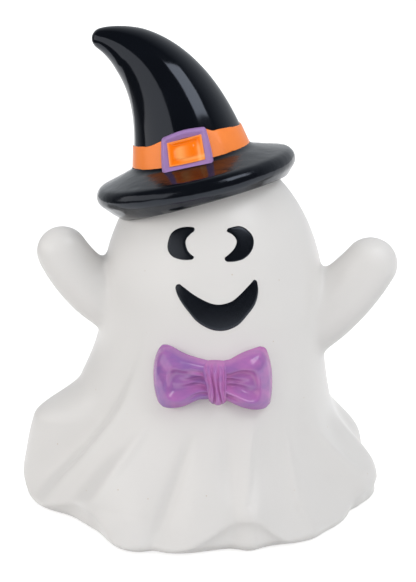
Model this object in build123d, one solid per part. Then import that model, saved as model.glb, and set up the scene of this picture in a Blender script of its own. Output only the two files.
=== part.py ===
from build123d import *
import math
import os
from typing import NamedTuple

# Glazed ceramic ghost with a leaning witch hat, a bow tie and raised arms.
# Millimetres and degrees. +Z is up, the face looks along -Y, and left and right are the viewer's.
# The origin is the middle of the foot, on the surface that the felt pads stand on.

# Body: a half ellipse dome over a skirt that flares down to a rounded hem
WAIST_RADIUS = 49.8
WAIST_HEIGHT = 90.0
DOME_HEIGHT = 70.0
HEM_RADIUS = 71.5
HEM_HEIGHT = 3.5
HEM_UNDERCUT = 2.0
FLARE_POWER = 2.0
HEAD_DEPTH_RATIO = 0.90
HEAD_SHIFT = 3.4
LEAN_HEIGHT = 108.0
BODY_WALL = 4.0
BODY_FLOOR = 5.0

# Holes that let air out of the castings while they are fired
VENT_RADIUS = 6.0
VENT_BACK = 28.0
ARM_VENT_RADIUS = 4.0

# Joints between castings
SLIP_GAP = 0.2
FIT_GAP = 0.3

# Hat, measured from its seat on the head and along its own leaning axis
SEAT_RADIUS = 35.9
SEAT_ROLL = 15.7
SEAT_PITCH = 10.0
HAT_OFFSET = 5.2
HAT_LIFT = 2.9
HAT_ROLL = 12.5
HAT_PITCH = 5.5
DECK_THICKNESS = 5.0
SPIGOT_RADIUS = 26.0
SPIGOT_DEPTH = 4.0
BRIM_BORE_RADIUS = 17.0
BRIM_FOOT_RADIUS = 34.5
BRIM_FOOT_DEPTH = 5.0
BRIM_RADIUS = 44.5
BRIM_LIP_RADIUS = 4.8
BRIM_LIP_HEIGHT = 6.6
BRIM_LIP_UNDER_ANGLE = -50.0
BRIM_LIP_TOP_ANGLE = 70.0
BRIM_ROOT_SLOPE = 35.0
BRIM_TOP_HEIGHT = 15.5
COLLAR_HEIGHT = 3.0
CROWN_BASE_RADIUS = 26.0
CROWN_TIP_RADIUS = 4.9
CROWN_LENGTH = 67.8
CROWN_TURN = 68.0
CROWN_TURN_POWER = 1.75
CROWN_TAPER_POWER = 0.72
CROWN_WALL = 4.0
CROWN_SOLID_TIP = 12.0
BAND_RISE = 1.0
BAND_WIDTH = 10.5
BAND_THICKNESS = 1.2

# Buckle on the front of the hat band
BUCKLE_SHIFT = -0.7
BUCKLE_RISE = 7.2
BUCKLE_TOP_WIDTH = 18.6
BUCKLE_BOTTOM_WIDTH = 21.6
BUCKLE_HEIGHT = 16.8
BUCKLE_BAR = 3.4
BUCKLE_THICKNESS = 2.4
BUCKLE_INSET_THICKNESS = 1.5

# Arms: a round taper along an arc that bends upwards
ARM_STATIONS = 6
ARM_FORWARD = 7.0
ARM_DEPTH_RATIO = 0.85
ARM_WALL = 3.5
LEFT_SHOULDER_OUT = 33.0
LEFT_SHOULDER_RISE = -1.0
LEFT_ARM_LENGTH = 40.3
LEFT_ARM_RADIUS = 16.0
LEFT_HAND_RADIUS = 11.5
LEFT_ARM_LOW_ANGLE = 24.0
LEFT_ARM_HIGH_ANGLE = 61.0
RIGHT_SHOULDER_OUT = 38.0
RIGHT_SHOULDER_RISE = -10.5
RIGHT_ARM_LENGTH = 46.0
RIGHT_ARM_RADIUS = 17.2
RIGHT_HAND_RADIUS = 12.1
RIGHT_ARM_LOW_ANGLE = 29.0
RIGHT_ARM_HIGH_ANGLE = 56.0

# Face: crescents of black glaze set in shallow recesses, measured down from the hat seat
EYE_DROP = 10.9
EYE_SPACING = 25.7
EYE_MIDDLE = 2.2
EYE_WIDTH = 11.8
EYE_HEIGHT = 13.8
EYE_NOTCH_RADIUS = 5.0
EYE_NOTCH_DEPTH = 2.8
MOUTH_DROP = 26.9
MOUTH_MIDDLE = 5.3
MOUTH_WIDTH = 35.5
MOUTH_SMILE = 9.0
MOUTH_DEPTH = 20.4
MOUTH_TILT = 3.2
MOUTH_CORNER_RADIUS = 1.2
INLAY_DEPTH = 0.9
INLAY_PROUD = 0.3

# Bow tie, measured from the waist
BOW_DROP = 18.7
BOW_MIDDLE = 4.2
BOW_LEFT_REACH = 26.2
BOW_RIGHT_REACH = 25.2
BOW_ROOT_HEIGHT = 16.5
BOW_BELLY_HEIGHT = 27.0
BOW_END_HEIGHT = 25.0
BOW_ROOT_THICKNESS = 9.6
BOW_BELLY_THICKNESS = 12.0
BOW_END_THICKNESS = 6.0
BOW_BELLY_SHARE = 0.72
BOW_STAND_OFF = 2.6
KNOT_WIDTH = 10.0
KNOT_HEIGHT = 19.0
KNOT_PROUD = 9.0
KNOT_ROUNDING = 3.2

# Felt pads under the foot
PAD_COUNT = 4
PAD_RADIUS = 6.0
PAD_THICKNESS = 1.0
PAD_INSET = 19.5

# Sections that the lofts pass through
RING_POINTS = 96
HEM_SECTIONS = 3
SKIRT_SECTIONS = 14
DOME_SECTIONS = 7
DOME_END_ANGLE = 75.0
CROWN_SECTIONS = 9
CROWN_STEPS = 60
TIP_ANGLES = (30.0, 55.0, 75.0)


class Fold(NamedTuple):
    """A crest or, with a negative reach, a valley that runs down the skirt and may slant as it goes."""

    hem_azimuth: float
    fade_azimuth: float
    spread: float
    hem_reach: float
    shoulder_reach: float
    shoulder_height: float
    fade_height: float


class Lift(NamedTuple):
    """A place where the hem curls in under the skirt, up to a height."""

    azimuth: float
    spread: float
    inset: float
    height: float


FOLDS = (
    # The wide lobe at the left, the valley beside it and the two ridges that follow
    Fold(180, 184, 17, 10.0, 16.3, 38, 56),
    Fold(180, 184, 17, 5.0, 6.2, 45, 82),
    Fold(186, 232, 9, -1.0, -3.2, 34, 88),
    Fold(198, 229, 6, 3.5, 2.0, 20, 62),
    Fold(218, 246, 7, 3.0, 3.6, 16, 58),
    # The front: a bulge over the hem, a shallow crease, a broad crest and a narrow ridge
    Fold(242, 240, 13, 8.0, 3.5, 14, 42),
    Fold(252, 267, 5.5, -1.5, -2.0, 14, 50),
    Fold(265, 272, 10, 3.5, 2.2, 15, 52),
    Fold(284, 281, 5, -0.5, -1.2, 25, 60),
    Fold(286, 292, 5, 2.0, 2.4, 20, 58),
    Fold(288, 288, 12, 5.0, 3.5, 16, 34),
    # The right: a ridge each side of a dimple, and the two lobes at the edge
    Fold(309, 312, 7, 2.0, 2.4, 15, 48),
    Fold(325, 325, 10, 1.5, -2.0, 24, 46),
    Fold(309, 320, 7, 0.0, -1.0, 45, 80),
    Fold(350, 314, 9, 2.0, 4.2, 22, 62),
    Fold(356, 350, 11, 6.5, 11.0, 17, 46),
    Fold(18, 18, 11, 5.0, 11.0, 22, 48),
    # The back: four even crests
    Fold(47, 40, 10, 3.0, 4.5, 16, 60),
    Fold(76, 74, 10, 3.0, 4.5, 18, 60),
    Fold(105, 108, 11, 3.0, 4.5, 16, 60),
    Fold(136, 140, 10, 3.0, 4.5, 16, 60),
)

LIFTS = (
    Lift(176, 12, 7.0, 15),
    Lift(214, 11, 6.0, 9),
    Lift(288, 12, 7.0, 16),
    Lift(350, 15, 8.0, 11),
    Lift(62, 9, 3.5, 9),
    Lift(120, 9, 3.5, 9),
)


def smooth(share):
    """A step from 0 to 1 with level ends."""
    share = min(max(share, 0.0), 1.0)
    return share * share * (3.0 - 2.0 * share)


def crest(azimuth, middle, spread):
    """A bell over the azimuth, 1 at its middle."""
    away = (azimuth - middle + 180.0) % 360.0 - 180.0
    return math.exp(-((away / spread) ** 2))


def body_radius(height):
    """Half width of the body without its folds."""
    if height > WAIST_HEIGHT:
        share = (height - WAIST_HEIGHT) / DOME_HEIGHT
        return WAIST_RADIUS * math.sqrt(max(1.0 - share * share, 0.0))
    share = min((WAIST_HEIGHT - height) / (WAIST_HEIGHT - HEM_HEIGHT), 1.0)
    radius = WAIST_RADIUS + (HEM_RADIUS - WAIST_RADIUS) * share**FLARE_POWER
    if height < HEM_HEIGHT:
        under = 1.0 - height / HEM_HEIGHT
        radius -= HEM_UNDERCUT * (1.0 - math.sqrt(1.0 - under * under))
    return radius


def depth_ratio(height):
    """Half depth over half width: round at the hem, shallower at the head."""
    return 1.0 - (1.0 - HEAD_DEPTH_RATIO) * smooth((height - HEM_HEIGHT) / (WAIST_HEIGHT - HEM_HEIGHT))


def axis_shift(height):
    """How far the middle of the body leans to the right at a height."""
    return HEAD_SHIFT * smooth((height - HEM_HEIGHT) / (LEAN_HEIGHT - HEM_HEIGHT))


def fold_reach(azimuth, height):
    """How far the folds push the skirt out at a point."""
    reach = 0.0
    for fold in FOLDS:
        slant = min(height / fold.fade_height, 1.0)
        middle = fold.hem_azimuth + (fold.fade_azimuth - fold.hem_azimuth) * slant
        rise = smooth(height / fold.shoulder_height)
        fade = smooth((fold.fade_height - height) / (fold.fade_height - fold.shoulder_height))
        crest_reach = (fold.hem_reach + (fold.shoulder_reach - fold.hem_reach) * rise) * fade
        reach += crest_reach * crest(azimuth, middle, fold.spread)
    for lift in LIFTS:
        share = smooth((lift.height - height) / lift.height)
        reach -= lift.inset * crest(azimuth, lift.azimuth, lift.spread) * share
    return reach


def body_point(azimuth, height, offset):
    """A point of the body's surface, moved out by an offset."""
    turn = math.radians(azimuth)
    reach = fold_reach(azimuth, height) + offset
    across = (body_radius(height) + reach) * math.cos(turn)
    back = (body_radius(height) * depth_ratio(height) + reach) * math.sin(turn)
    return (axis_shift(height) + across, back, height)


def closed_curve(points):
    """A smooth closed wire, with the same knots on every ring of a loft."""
    knots = [step / len(points) for step in range(len(points) + 1)]
    return Wire([Edge.make_spline(points, periodic=True, parameters=knots)])


def body_ring(height, offset):
    """The body's outline at a height, moved out by an offset."""
    points = [body_point(360.0 * step / RING_POINTS, height, offset) for step in range(RING_POINTS)]
    return closed_curve(points)


def body_heights(lowest):
    """Heights of the body's sections, from the lowest one to near the top of the dome."""
    turns = [math.pi / 2.0 * step / HEM_SECTIONS for step in range(HEM_SECTIONS)]
    hem = [HEM_HEIGHT * (1.0 - math.cos(turn)) for turn in turns]
    rise = (WAIST_HEIGHT - HEM_HEIGHT) / SKIRT_SECTIONS
    skirt = [HEM_HEIGHT + rise * step for step in range(SKIRT_SECTIONS)]
    angles = [math.radians(DOME_END_ANGLE * step / DOME_SECTIONS) for step in range(DOME_SECTIONS + 1)]
    dome = [WAIST_HEIGHT + DOME_HEIGHT * math.sin(angle) for angle in angles]
    least_step = HEM_HEIGHT / HEM_SECTIONS
    return [lowest] + [height for height in hem + skirt + dome if height > lowest + least_step]


def body_solid(offset, lowest):
    """The body as one solid, grown by an offset."""
    return Solid.make_loft([body_ring(height, offset) for height in body_heights(lowest)])


def front_of_body(across, height):
    """How far forward the body's surface lies above the skirt."""
    half_width = body_radius(height)
    share = (across - axis_shift(height)) / half_width
    return -half_width * depth_ratio(height) * math.sqrt(max(1.0 - share * share, 0.0))


def seat_height():
    """Height where the dome is as wide as the hat's seat."""
    share = SEAT_RADIUS / WAIST_RADIUS
    return WAIST_HEIGHT + DOME_HEIGHT * math.sqrt(1.0 - share * share)


def leaning_plane(origin, roll_angle, pitch_angle):
    """A plane that leans to the left by a roll and to the back by a pitch."""
    roll = math.radians(roll_angle)
    pitch = math.radians(pitch_angle)
    up = (-math.sin(roll) * math.cos(pitch), math.sin(pitch), math.cos(roll) * math.cos(pitch))
    across = (math.cos(roll), 0.0, math.sin(roll))
    return Plane(origin=origin, x_dir=across, z_dir=up)


def seat_plane():
    """The flat top of the head, where the hat sits."""
    return leaning_plane((HEAD_SHIFT - HAT_OFFSET, 0, seat_height()), SEAT_ROLL, SEAT_PITCH)


def hat_plane():
    """The hat's own frame, just above its seat."""
    return leaning_plane(seat_plane().offset(HAT_LIFT).origin, HAT_ROLL, HAT_PITCH)


def below(solid, plane):
    """The part of a solid under a plane."""
    return split(solid, bisect_by=plane, keep=Keep.BOTTOM)


class ArmShape(NamedTuple):
    """Sizes of one arm, with side -1 at the left and 1 at the right."""

    side: int
    shoulder_out: float
    shoulder_rise: float
    length: float
    radius: float
    hand_radius: float
    low_angle: float
    high_angle: float


LEFT_ARM = ArmShape(
    -1,
    LEFT_SHOULDER_OUT,
    LEFT_SHOULDER_RISE,
    LEFT_ARM_LENGTH,
    LEFT_ARM_RADIUS,
    LEFT_HAND_RADIUS,
    LEFT_ARM_LOW_ANGLE,
    LEFT_ARM_HIGH_ANGLE,
)
RIGHT_ARM = ArmShape(
    1,
    RIGHT_SHOULDER_OUT,
    RIGHT_SHOULDER_RISE,
    RIGHT_ARM_LENGTH,
    RIGHT_ARM_RADIUS,
    RIGHT_HAND_RADIUS,
    RIGHT_ARM_LOW_ANGLE,
    RIGHT_ARM_HIGH_ANGLE,
)


def arm_spine(arm):
    """Points, directions and radii from the shoulder to the middle of the hand."""
    stations = []
    place = Vector(arm.side * arm.shoulder_out, -ARM_FORWARD, WAIST_HEIGHT + arm.shoulder_rise)
    step = arm.length / ARM_STATIONS
    for count in range(ARM_STATIONS + 1):
        share = count / ARM_STATIONS
        angle = math.radians(arm.low_angle + (arm.high_angle - arm.low_angle) * share)
        along = Vector(arm.side * math.cos(angle), 0, math.sin(angle))
        stations.append((place, along, arm.radius + (arm.hand_radius - arm.radius) * share))
        place = place + along * step
    return stations


def arm_solid(arm, wall):
    """The arm as one solid with a round hand, drawn in by a wall."""
    stations = [(place, along, radius - wall) for place, along, radius in arm_spine(arm)]
    place, along, hand = stations[-1]
    for angle in TIP_ANGLES:
        turn = math.radians(angle)
        stations.append((place + along * hand * math.sin(turn), along, hand * math.cos(turn)))
    rings = []
    for point, heading, radius in stations:
        plane = Plane(origin=point, x_dir=(0, 1, 0), z_dir=heading)
        rings.append(Wire.make_ellipse(radius * ARM_DEPTH_RATIO, radius, plane))
    return Solid.make_loft(rings + [Vertex(*(place + along * hand))])


def arm_vent(arm):
    """The air hole through the body's wall into the arm."""
    place, along, radius = arm_spine(arm)[0]
    plane = Plane(origin=place - along * radius, z_dir=along)
    return plane * extrude(Circle(ARM_VENT_RADIUS), arm.length / 2.0 + radius)


def make_arm(arm):
    """A hollow arm whose root is shaped to the body."""
    return arm_solid(arm, 0.0) - arm_solid(arm, ARM_WALL) - body_solid(SLIP_GAP, 0.0)


def crown_radius(along):
    """Radius of the hat's crown at a distance along its bent middle line."""
    share = max(1.0 - along / CROWN_LENGTH, 0.0)
    return CROWN_TIP_RADIUS + (CROWN_BASE_RADIUS - CROWN_TIP_RADIUS) * share**CROWN_TAPER_POWER


def crown_angle(along):
    """Lean of the crown's middle line from the hat's axis."""
    return math.radians(CROWN_TURN) * (along / CROWN_LENGTH) ** CROWN_TURN_POWER


def crown_point(along):
    """A point of the crown's middle line and its direction, in the hat's frame."""
    step = along / CROWN_STEPS
    across = 0.0
    up = BRIM_TOP_HEIGHT
    for count in range(CROWN_STEPS):
        angle = crown_angle(step * (count + 0.5))
        across -= math.sin(angle) * step
        up += math.cos(angle) * step
    angle = crown_angle(along)
    return Vector(across, 0, up), Vector(-math.sin(angle), 0, math.cos(angle))


def crown_rings(offset, start, end):
    """Sections of the crown between two distances along its middle line, grown by an offset."""
    rings = []
    for count in range(CROWN_SECTIONS + 1):
        along = start + (end - start) * count / CROWN_SECTIONS
        place, heading = crown_point(along)
        plane = Plane(origin=place, x_dir=(0, 1, 0), z_dir=heading)
        rings.append(Wire.make_circle(crown_radius(along) + offset, plane))
    return rings


def crown_tip():
    """Sections and the end point that round off the crown's tip."""
    place, heading = crown_point(CROWN_LENGTH)
    rings = []
    for angle in TIP_ANGLES:
        turn = math.radians(angle)
        middle = place + heading * CROWN_TIP_RADIUS * math.sin(turn)
        plane = Plane(origin=middle, x_dir=(0, 1, 0), z_dir=heading)
        rings.append(Wire.make_circle(CROWN_TIP_RADIUS * math.cos(turn), plane))
    return rings + [Vertex(*(place + heading * CROWN_TIP_RADIUS))]


def make_hat_crown():
    """The hollow crown, open at its foot and solid at its tip."""
    outside = Solid.make_loft(crown_rings(0.0, 0.0, CROWN_LENGTH) + crown_tip())
    inside = Solid.make_loft(crown_rings(-CROWN_WALL, 0.0, CROWN_LENGTH - CROWN_SOLID_TIP))
    return hat_plane() * (outside - inside)


def lip_point(angle):
    """A point on the rounded lip of the brim."""
    turn = math.radians(angle)
    out = BRIM_RADIUS - BRIM_LIP_RADIUS + BRIM_LIP_RADIUS * math.cos(turn)
    return (out, BRIM_LIP_HEIGHT + BRIM_LIP_RADIUS * math.sin(turn))


def make_hat_brim():
    """The brim, trimmed to its seat, with a spigot down into the head and a collar up into the crown."""
    collar_radius = crown_radius(COLLAR_HEIGHT) - CROWN_WALL - FIT_GAP
    collar_top = BRIM_TOP_HEIGHT + COLLAR_HEIGHT
    bottom = -2.0 * BRIM_FOOT_DEPTH
    lip_under = lip_point(BRIM_LIP_UNDER_ANGLE)
    lip_top = lip_point(BRIM_LIP_TOP_ANGLE)
    foot = (CROWN_BASE_RADIUS + FIT_GAP, BRIM_TOP_HEIGHT)
    inner = Polyline(
        foot,
        (collar_radius, BRIM_TOP_HEIGHT),
        (collar_radius, collar_top),
        (BRIM_BORE_RADIUS, collar_top),
        (BRIM_BORE_RADIUS, bottom),
        (BRIM_FOOT_RADIUS, bottom),
        (BRIM_FOOT_RADIUS, -BRIM_FOOT_DEPTH),
        lip_under,
    )
    lip = ThreePointArc(lip_under, lip_point(0.0), lip_top)
    leaving = math.radians(BRIM_LIP_TOP_ANGLE)
    arriving = math.radians(BRIM_ROOT_SLOPE)
    tangents = ((-math.sin(leaving), math.cos(leaving)), (-math.cos(arriving), math.sin(arriving)))
    slope = Spline(lip_top, foot, tangents=tangents)
    section = Plane.XZ * make_face([inner, lip, slope])
    seat = seat_plane()
    brim = split(hat_plane() * revolve(section, Axis.Z), bisect_by=seat, keep=Keep.TOP)
    spigot = seat * extrude(Circle(SPIGOT_RADIUS), -SPIGOT_DEPTH)
    bore = hat_plane() * Cylinder(BRIM_BORE_RADIUS, 2.0 * (collar_top + SPIGOT_DEPTH))
    return (brim + spigot) - bore


def hat_layer(inner, outer, start, end):
    """A sleeve round the crown between two offsets."""
    outside = Solid.make_loft(crown_rings(outer, start, end))
    inside = Solid.make_loft(crown_rings(inner, start, end))
    return outside - inside


def make_hat_band():
    """The ribbon round the foot of the crown."""
    return hat_plane() * hat_layer(SLIP_GAP, SLIP_GAP + BAND_THICKNESS, BAND_RISE, BAND_RISE + BAND_WIDTH)


def buckle_outline(drawn_in):
    """The buckle's outline on the front of the hat, wider at its foot."""
    low = BUCKLE_RISE + BRIM_TOP_HEIGHT - BUCKLE_HEIGHT / 2.0 + drawn_in
    high = BUCKLE_RISE + BRIM_TOP_HEIGHT + BUCKLE_HEIGHT / 2.0 - drawn_in
    half_low = BUCKLE_BOTTOM_WIDTH / 2.0 - drawn_in
    half_high = BUCKLE_TOP_WIDTH / 2.0 - drawn_in
    corners = [(-half_low, low), (half_low, low), (half_high, high), (-half_high, high)]
    shifted = [(across + BUCKLE_SHIFT, up) for across, up in corners]
    return Plane.XZ * make_face(Polyline(*shifted, close=True))


def on_hat_front(outline, inner, outer):
    """An outline pressed onto the front of the hat between two offsets from the crown."""
    block = extrude(outline, 2.0 * CROWN_BASE_RADIUS)
    top = BAND_RISE + BAND_WIDTH + BUCKLE_HEIGHT
    return hat_plane() * (block & hat_layer(inner, outer, 0.0, top))


def buckle_seat():
    """Offset from the crown to the back of the buckle."""
    return SLIP_GAP + BAND_THICKNESS + SLIP_GAP


def make_buckle_frame():
    """The open frame of the buckle."""
    frame = buckle_outline(0.0) - buckle_outline(BUCKLE_BAR)
    return on_hat_front(frame, buckle_seat(), buckle_seat() + BUCKLE_THICKNESS)


def make_buckle_inset():
    """The plate inside the buckle's frame."""
    outline = buckle_outline(BUCKLE_BAR + SLIP_GAP)
    return on_hat_front(outline, buckle_seat(), buckle_seat() + BUCKLE_INSET_THICKNESS)


def eye_outline(side, grown):
    """A crescent eye whose horns point to the middle of the face."""
    middle = (EYE_MIDDLE + side * EYE_SPACING / 2.0, seat_height() - EYE_DROP)
    notch_middle = EYE_WIDTH / 2.0 + EYE_NOTCH_RADIUS - EYE_NOTCH_DEPTH
    oval = Ellipse(EYE_WIDTH / 2.0 + grown, EYE_HEIGHT / 2.0 + grown)
    crescent = oval - Pos(-side * notch_middle, 0) * Circle(EYE_NOTCH_RADIUS - grown)
    return Plane.XZ * Pos(*middle) * crescent


def mouth_outline(grown):
    """A smile between two arcs, with round corners."""
    half = MOUTH_WIDTH / 2.0
    upper = ThreePointArc((-half, 0), (0, -MOUTH_SMILE), (half, 0))
    lower = ThreePointArc((half, 0), (0, -MOUTH_DEPTH), (-half, 0))
    smile = make_face([upper, lower])
    smile = fillet(smile.vertices(), MOUTH_CORNER_RADIUS)
    if grown:
        smile = offset(smile, grown)
    place = Pos(MOUTH_MIDDLE, seat_height() - MOUTH_DROP) * Rot(0, 0, MOUTH_TILT)
    return Plane.XZ * place * smile


def on_face(outline):
    """A block that stands forward from an outline on the face."""
    return extrude(outline, HEM_RADIUS)


def make_inlay(outline, head, skin):
    """Black glaze between the floor of its recess and just above the skin."""
    return (on_face(outline) & head) - skin


def loop_ring(out, tall, thick):
    """One section of a bow loop, at a signed distance from the middle of the bow."""
    across = BOW_MIDDLE + out
    height = WAIST_HEIGHT - BOW_DROP
    place = (across, front_of_body(across, height) - BOW_STAND_OFF, height)
    plane = Plane(origin=place, x_dir=(0, 1, 0), z_dir=(math.copysign(1.0, out), 0, 0))
    return Wire.make_ellipse(thick / 2.0, tall / 2.0, plane)


def make_bow_loop(side, reach, seat):
    """A puffed loop that opens from the knot and draws in at its end."""
    start = KNOT_WIDTH / 2.0
    belly = start + (reach - start) * BOW_BELLY_SHARE
    opening = (start + belly) / 2.0
    opening_height = (BOW_ROOT_HEIGHT + BOW_BELLY_HEIGHT) / 2.0
    rings = [
        loop_ring(side * start, BOW_ROOT_HEIGHT, BOW_ROOT_THICKNESS),
        loop_ring(side * opening, opening_height, BOW_BELLY_THICKNESS),
        loop_ring(side * belly, BOW_BELLY_HEIGHT, BOW_BELLY_THICKNESS),
        loop_ring(side * reach, BOW_END_HEIGHT, BOW_END_THICKNESS),
    ]
    return Solid.make_loft(rings) - seat


def make_bow_knot(seat):
    """The wrapped knot in the middle of the bow."""
    height = WAIST_HEIGHT - BOW_DROP
    front = front_of_body(BOW_MIDDLE, height) - KNOT_PROUD
    block = Box(KNOT_WIDTH, 2.0 * KNOT_PROUD, KNOT_HEIGHT, align=(Align.CENTER, Align.MIN, Align.CENTER))
    edges = block.faces().sort_by(Axis.Y)[0].edges().filter_by(Axis.X)
    block = fillet(edges, KNOT_ROUNDING)
    return Pos(BOW_MIDDLE, front, height) * block - seat


def pad_places():
    """Middles of the felt pads, in the corners of the foot and set in from its edge."""
    circle = HEM_RADIUS - HEM_UNDERCUT - PAD_INSET
    for count in range(PAD_COUNT):
        turn = math.radians(360.0 * (count + 0.5) / PAD_COUNT)
        yield circle * math.cos(turn), circle * math.sin(turn)


def make_pad(place):
    """A felt disc between the foot and the table."""
    disc = Cylinder(PAD_RADIUS, PAD_THICKNESS, align=(Align.CENTER, Align.CENTER, Align.MAX))
    return Pos(place[0], place[1], 0) * disc


def make_body_shell(recess_floor):
    """The hollow body, open under the hat, with recesses for the face and air holes."""
    seat = seat_plane()
    shell = below(body_solid(0.0, 0.0), seat)
    cavity = below(body_solid(-BODY_WALL, BODY_FLOOR), seat.offset(-DECK_THICKNESS))
    opening = seat * extrude(Circle(SPIGOT_RADIUS + FIT_GAP), -2.0 * DECK_THICKNESS)
    vent = Pos(0, VENT_BACK, 0) * extrude(Circle(VENT_RADIUS), BODY_FLOOR)
    shell = shell - cavity - opening - vent
    for outline in (eye_outline(-1, SLIP_GAP), eye_outline(1, SLIP_GAP), mouth_outline(SLIP_GAP)):
        shell = shell - (on_face(outline) - recess_floor)
    for arm in (LEFT_ARM, RIGHT_ARM):
        shell = shell - arm_vent(arm)
    return shell


def write(shape, name):
    """Writes one piece, raised so that the pads stand on the origin's plane."""
    export_step(Pos(0, 0, PAD_THICKNESS) * shape, f"parts/{name}.step")


def main():
    os.makedirs("parts", exist_ok=True)
    recess_floor = body_solid(-INLAY_DEPTH - SLIP_GAP, 0.0)
    inlay_floor = body_solid(-INLAY_DEPTH, 0.0)
    inlay_top = body_solid(INLAY_PROUD, 0.0)
    bow_seat = body_solid(SLIP_GAP, 0.0)

    write(make_body_shell(recess_floor), "body_shell")
    write(make_arm(LEFT_ARM), "left_arm")
    write(make_arm(RIGHT_ARM), "right_arm")
    write(make_hat_brim(), "hat_brim")
    write(make_hat_crown(), "hat_crown")
    write(make_hat_band(), "hat_band")
    write(make_buckle_frame(), "buckle_frame")
    write(make_buckle_inset(), "buckle_inset")
    write(make_inlay(eye_outline(-1, 0.0), inlay_top, inlay_floor), "left_eye")
    write(make_inlay(eye_outline(1, 0.0), inlay_top, inlay_floor), "right_eye")
    write(make_inlay(mouth_outline(0.0), inlay_top, inlay_floor), "mouth")
    write(make_bow_loop(-1, BOW_LEFT_REACH, bow_seat), "bow_left_loop")
    write(make_bow_loop(1, BOW_RIGHT_REACH, bow_seat), "bow_right_loop")
    write(make_bow_knot(bow_seat), "bow_knot")
    for count, place in enumerate(pad_places(), start=1):
        write(make_pad(place), f"felt_pad_{count}")


main()
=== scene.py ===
"""Glazed ceramic ghost with a leaning witch hat and a bow tie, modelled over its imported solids."""
import math
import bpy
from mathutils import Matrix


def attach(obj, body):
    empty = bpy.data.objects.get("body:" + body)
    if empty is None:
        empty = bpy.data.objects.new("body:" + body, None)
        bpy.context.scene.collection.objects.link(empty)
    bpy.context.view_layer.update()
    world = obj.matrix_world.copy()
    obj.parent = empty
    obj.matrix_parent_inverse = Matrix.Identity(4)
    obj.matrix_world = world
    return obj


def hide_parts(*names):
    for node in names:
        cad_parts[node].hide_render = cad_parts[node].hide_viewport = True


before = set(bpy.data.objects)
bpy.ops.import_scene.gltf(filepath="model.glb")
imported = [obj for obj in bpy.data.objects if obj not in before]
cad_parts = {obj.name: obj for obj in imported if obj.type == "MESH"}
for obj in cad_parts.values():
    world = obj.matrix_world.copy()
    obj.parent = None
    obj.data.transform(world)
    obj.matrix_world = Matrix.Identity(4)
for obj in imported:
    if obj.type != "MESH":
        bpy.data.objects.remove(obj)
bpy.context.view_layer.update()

import bpy
import numpy as np
from bpy.props import FloatProperty, FloatVectorProperty, PointerProperty
from mathutils import Matrix, Vector

bl_info = {
    "name": "Ceramic Ghost",
    "version": (1, 0, 0),
    "blender": (4, 5, 0),
    "location": "View3D > Sidebar > Ghost",
    "description": "Models a glazed ceramic ghost with a witch hat and a bow tie",
    "category": "Add Mesh",
}

MM = 0.001

# Crests (and valleys, with a negative reach) that run down the skirt: azimuth at the hem and where it fades,
# spread in degrees, reach at the hem and at the shoulder in mm, height of the shoulder and of the fade in mm.
FOLDS = (
    (180, 184, 17, 9.8, 14.6, 38, 56),
    (180, 184, 17, 5.0, 6.2, 45, 82),
    (186, 232, 9, -1.0, -2.7, 34, 88),
    (198, 229, 7, 2.0, 2.0, 20, 62),
    (218, 246, 9, 1.2, 3.6, 16, 58),
    (242, 240, 13, 8.0, 3.5, 14, 42),
    (252, 267, 5.5, -1.5, -2.0, 14, 50),
    (265, 272, 10, 3.2, 2.2, 15, 52),
    (284, 281, 5, -0.5, -1.2, 25, 60),
    (286, 292, 5, 2.0, 2.4, 20, 58),
    (288, 288, 12, 4.6, 3.2, 16, 34),
    (309, 312, 7, 2.0, 1.8, 15, 48),
    (325, 325, 10, 1.5, -1.0, 24, 46),
    (309, 320, 7, 0.0, -1.0, 45, 80),
    (350, 314, 9, 2.0, 4.2, 22, 62),
    (356, 350, 11, 6.5, 11.0, 17, 46),
    (18, 18, 11, 5.0, 11.0, 22, 48),
    (47, 40, 10, 3.0, 4.5, 16, 60),
    (76, 74, 10, 3.0, 4.5, 18, 60),
    (105, 108, 11, 3.0, 4.5, 16, 60),
    (136, 140, 10, 3.0, 4.5, 16, 60),
)
# Fine ridges, and grooves with a negative reach, on the front of the skirt: azimuth, height and reach in mm
# from the foot up, then the width in mm on the side of smaller and of larger azimuths.
CREASES = (
    (
        (
            (194, 14, -0.8), (200, 28, -1.1), (211, 44, -1.3), (217, 54, -1.3), (224, 66, -1.1),
            (229, 80, -0.6), (232, 96, 0),
        ),
        7.0,
        4.0,
    ),
    (((200, 8, 0.2), (204, 18, 1.0), (213, 34, 1.4), (222, 48, 1.0), (229, 62, 0)), 2.2, 6.0),
    (((223, 8, 0.1), (227, 16, 0.8), (234, 33, 1.3), (239, 44, 0.9), (242, 54, 0)), 5.0, 3.0),
    (((252, 6, -1.6), (256, 23, -2.3), (260, 37, -1.6), (263, 48, 0)), 2.8, 3.2),
    (((280, 19, -0.9), (279, 32, -1.2), (279, 42, -0.9), (277, 56, 0)), 4.0, 3.0),
    (((287, 12, 0.6), (284, 20, 1.5), (286, 28, 2.1), (289, 44, 1.5), (292, 54, 0)), 7.0, 2.0),
    (((310, 6, 0.4), (307, 16, 1.0), (307, 24, 1.3), (308, 38, 1.0), (308, 50, 0)), 2.0, 6.0),
    (((342, 17, 0.8), (335, 27, 1.2), (326, 39, 0.8), (320, 48, 0)), 4.0, 4.0),
)
# Places where the hem curls in under the skirt: azimuth, spread in degrees on the side of smaller and of
# larger azimuths, height of the lip and depth of the scoop under it in mm.
CURLS = (
    (176, 12, 12, 14, 5.5),
    (221, 19, 19, 11, 6.5),
    (286, 19, 10.5, 14, 7.0),
    (350, 18, 18, 9, 2.2),
    (62, 9, 9, 9, 4.0),
    (120, 9, 9, 9, 4.0),
)
# Radius of the skirt in mm that turns the width of a crease into degrees
CREASE_RADIUS = 68.0


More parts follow.
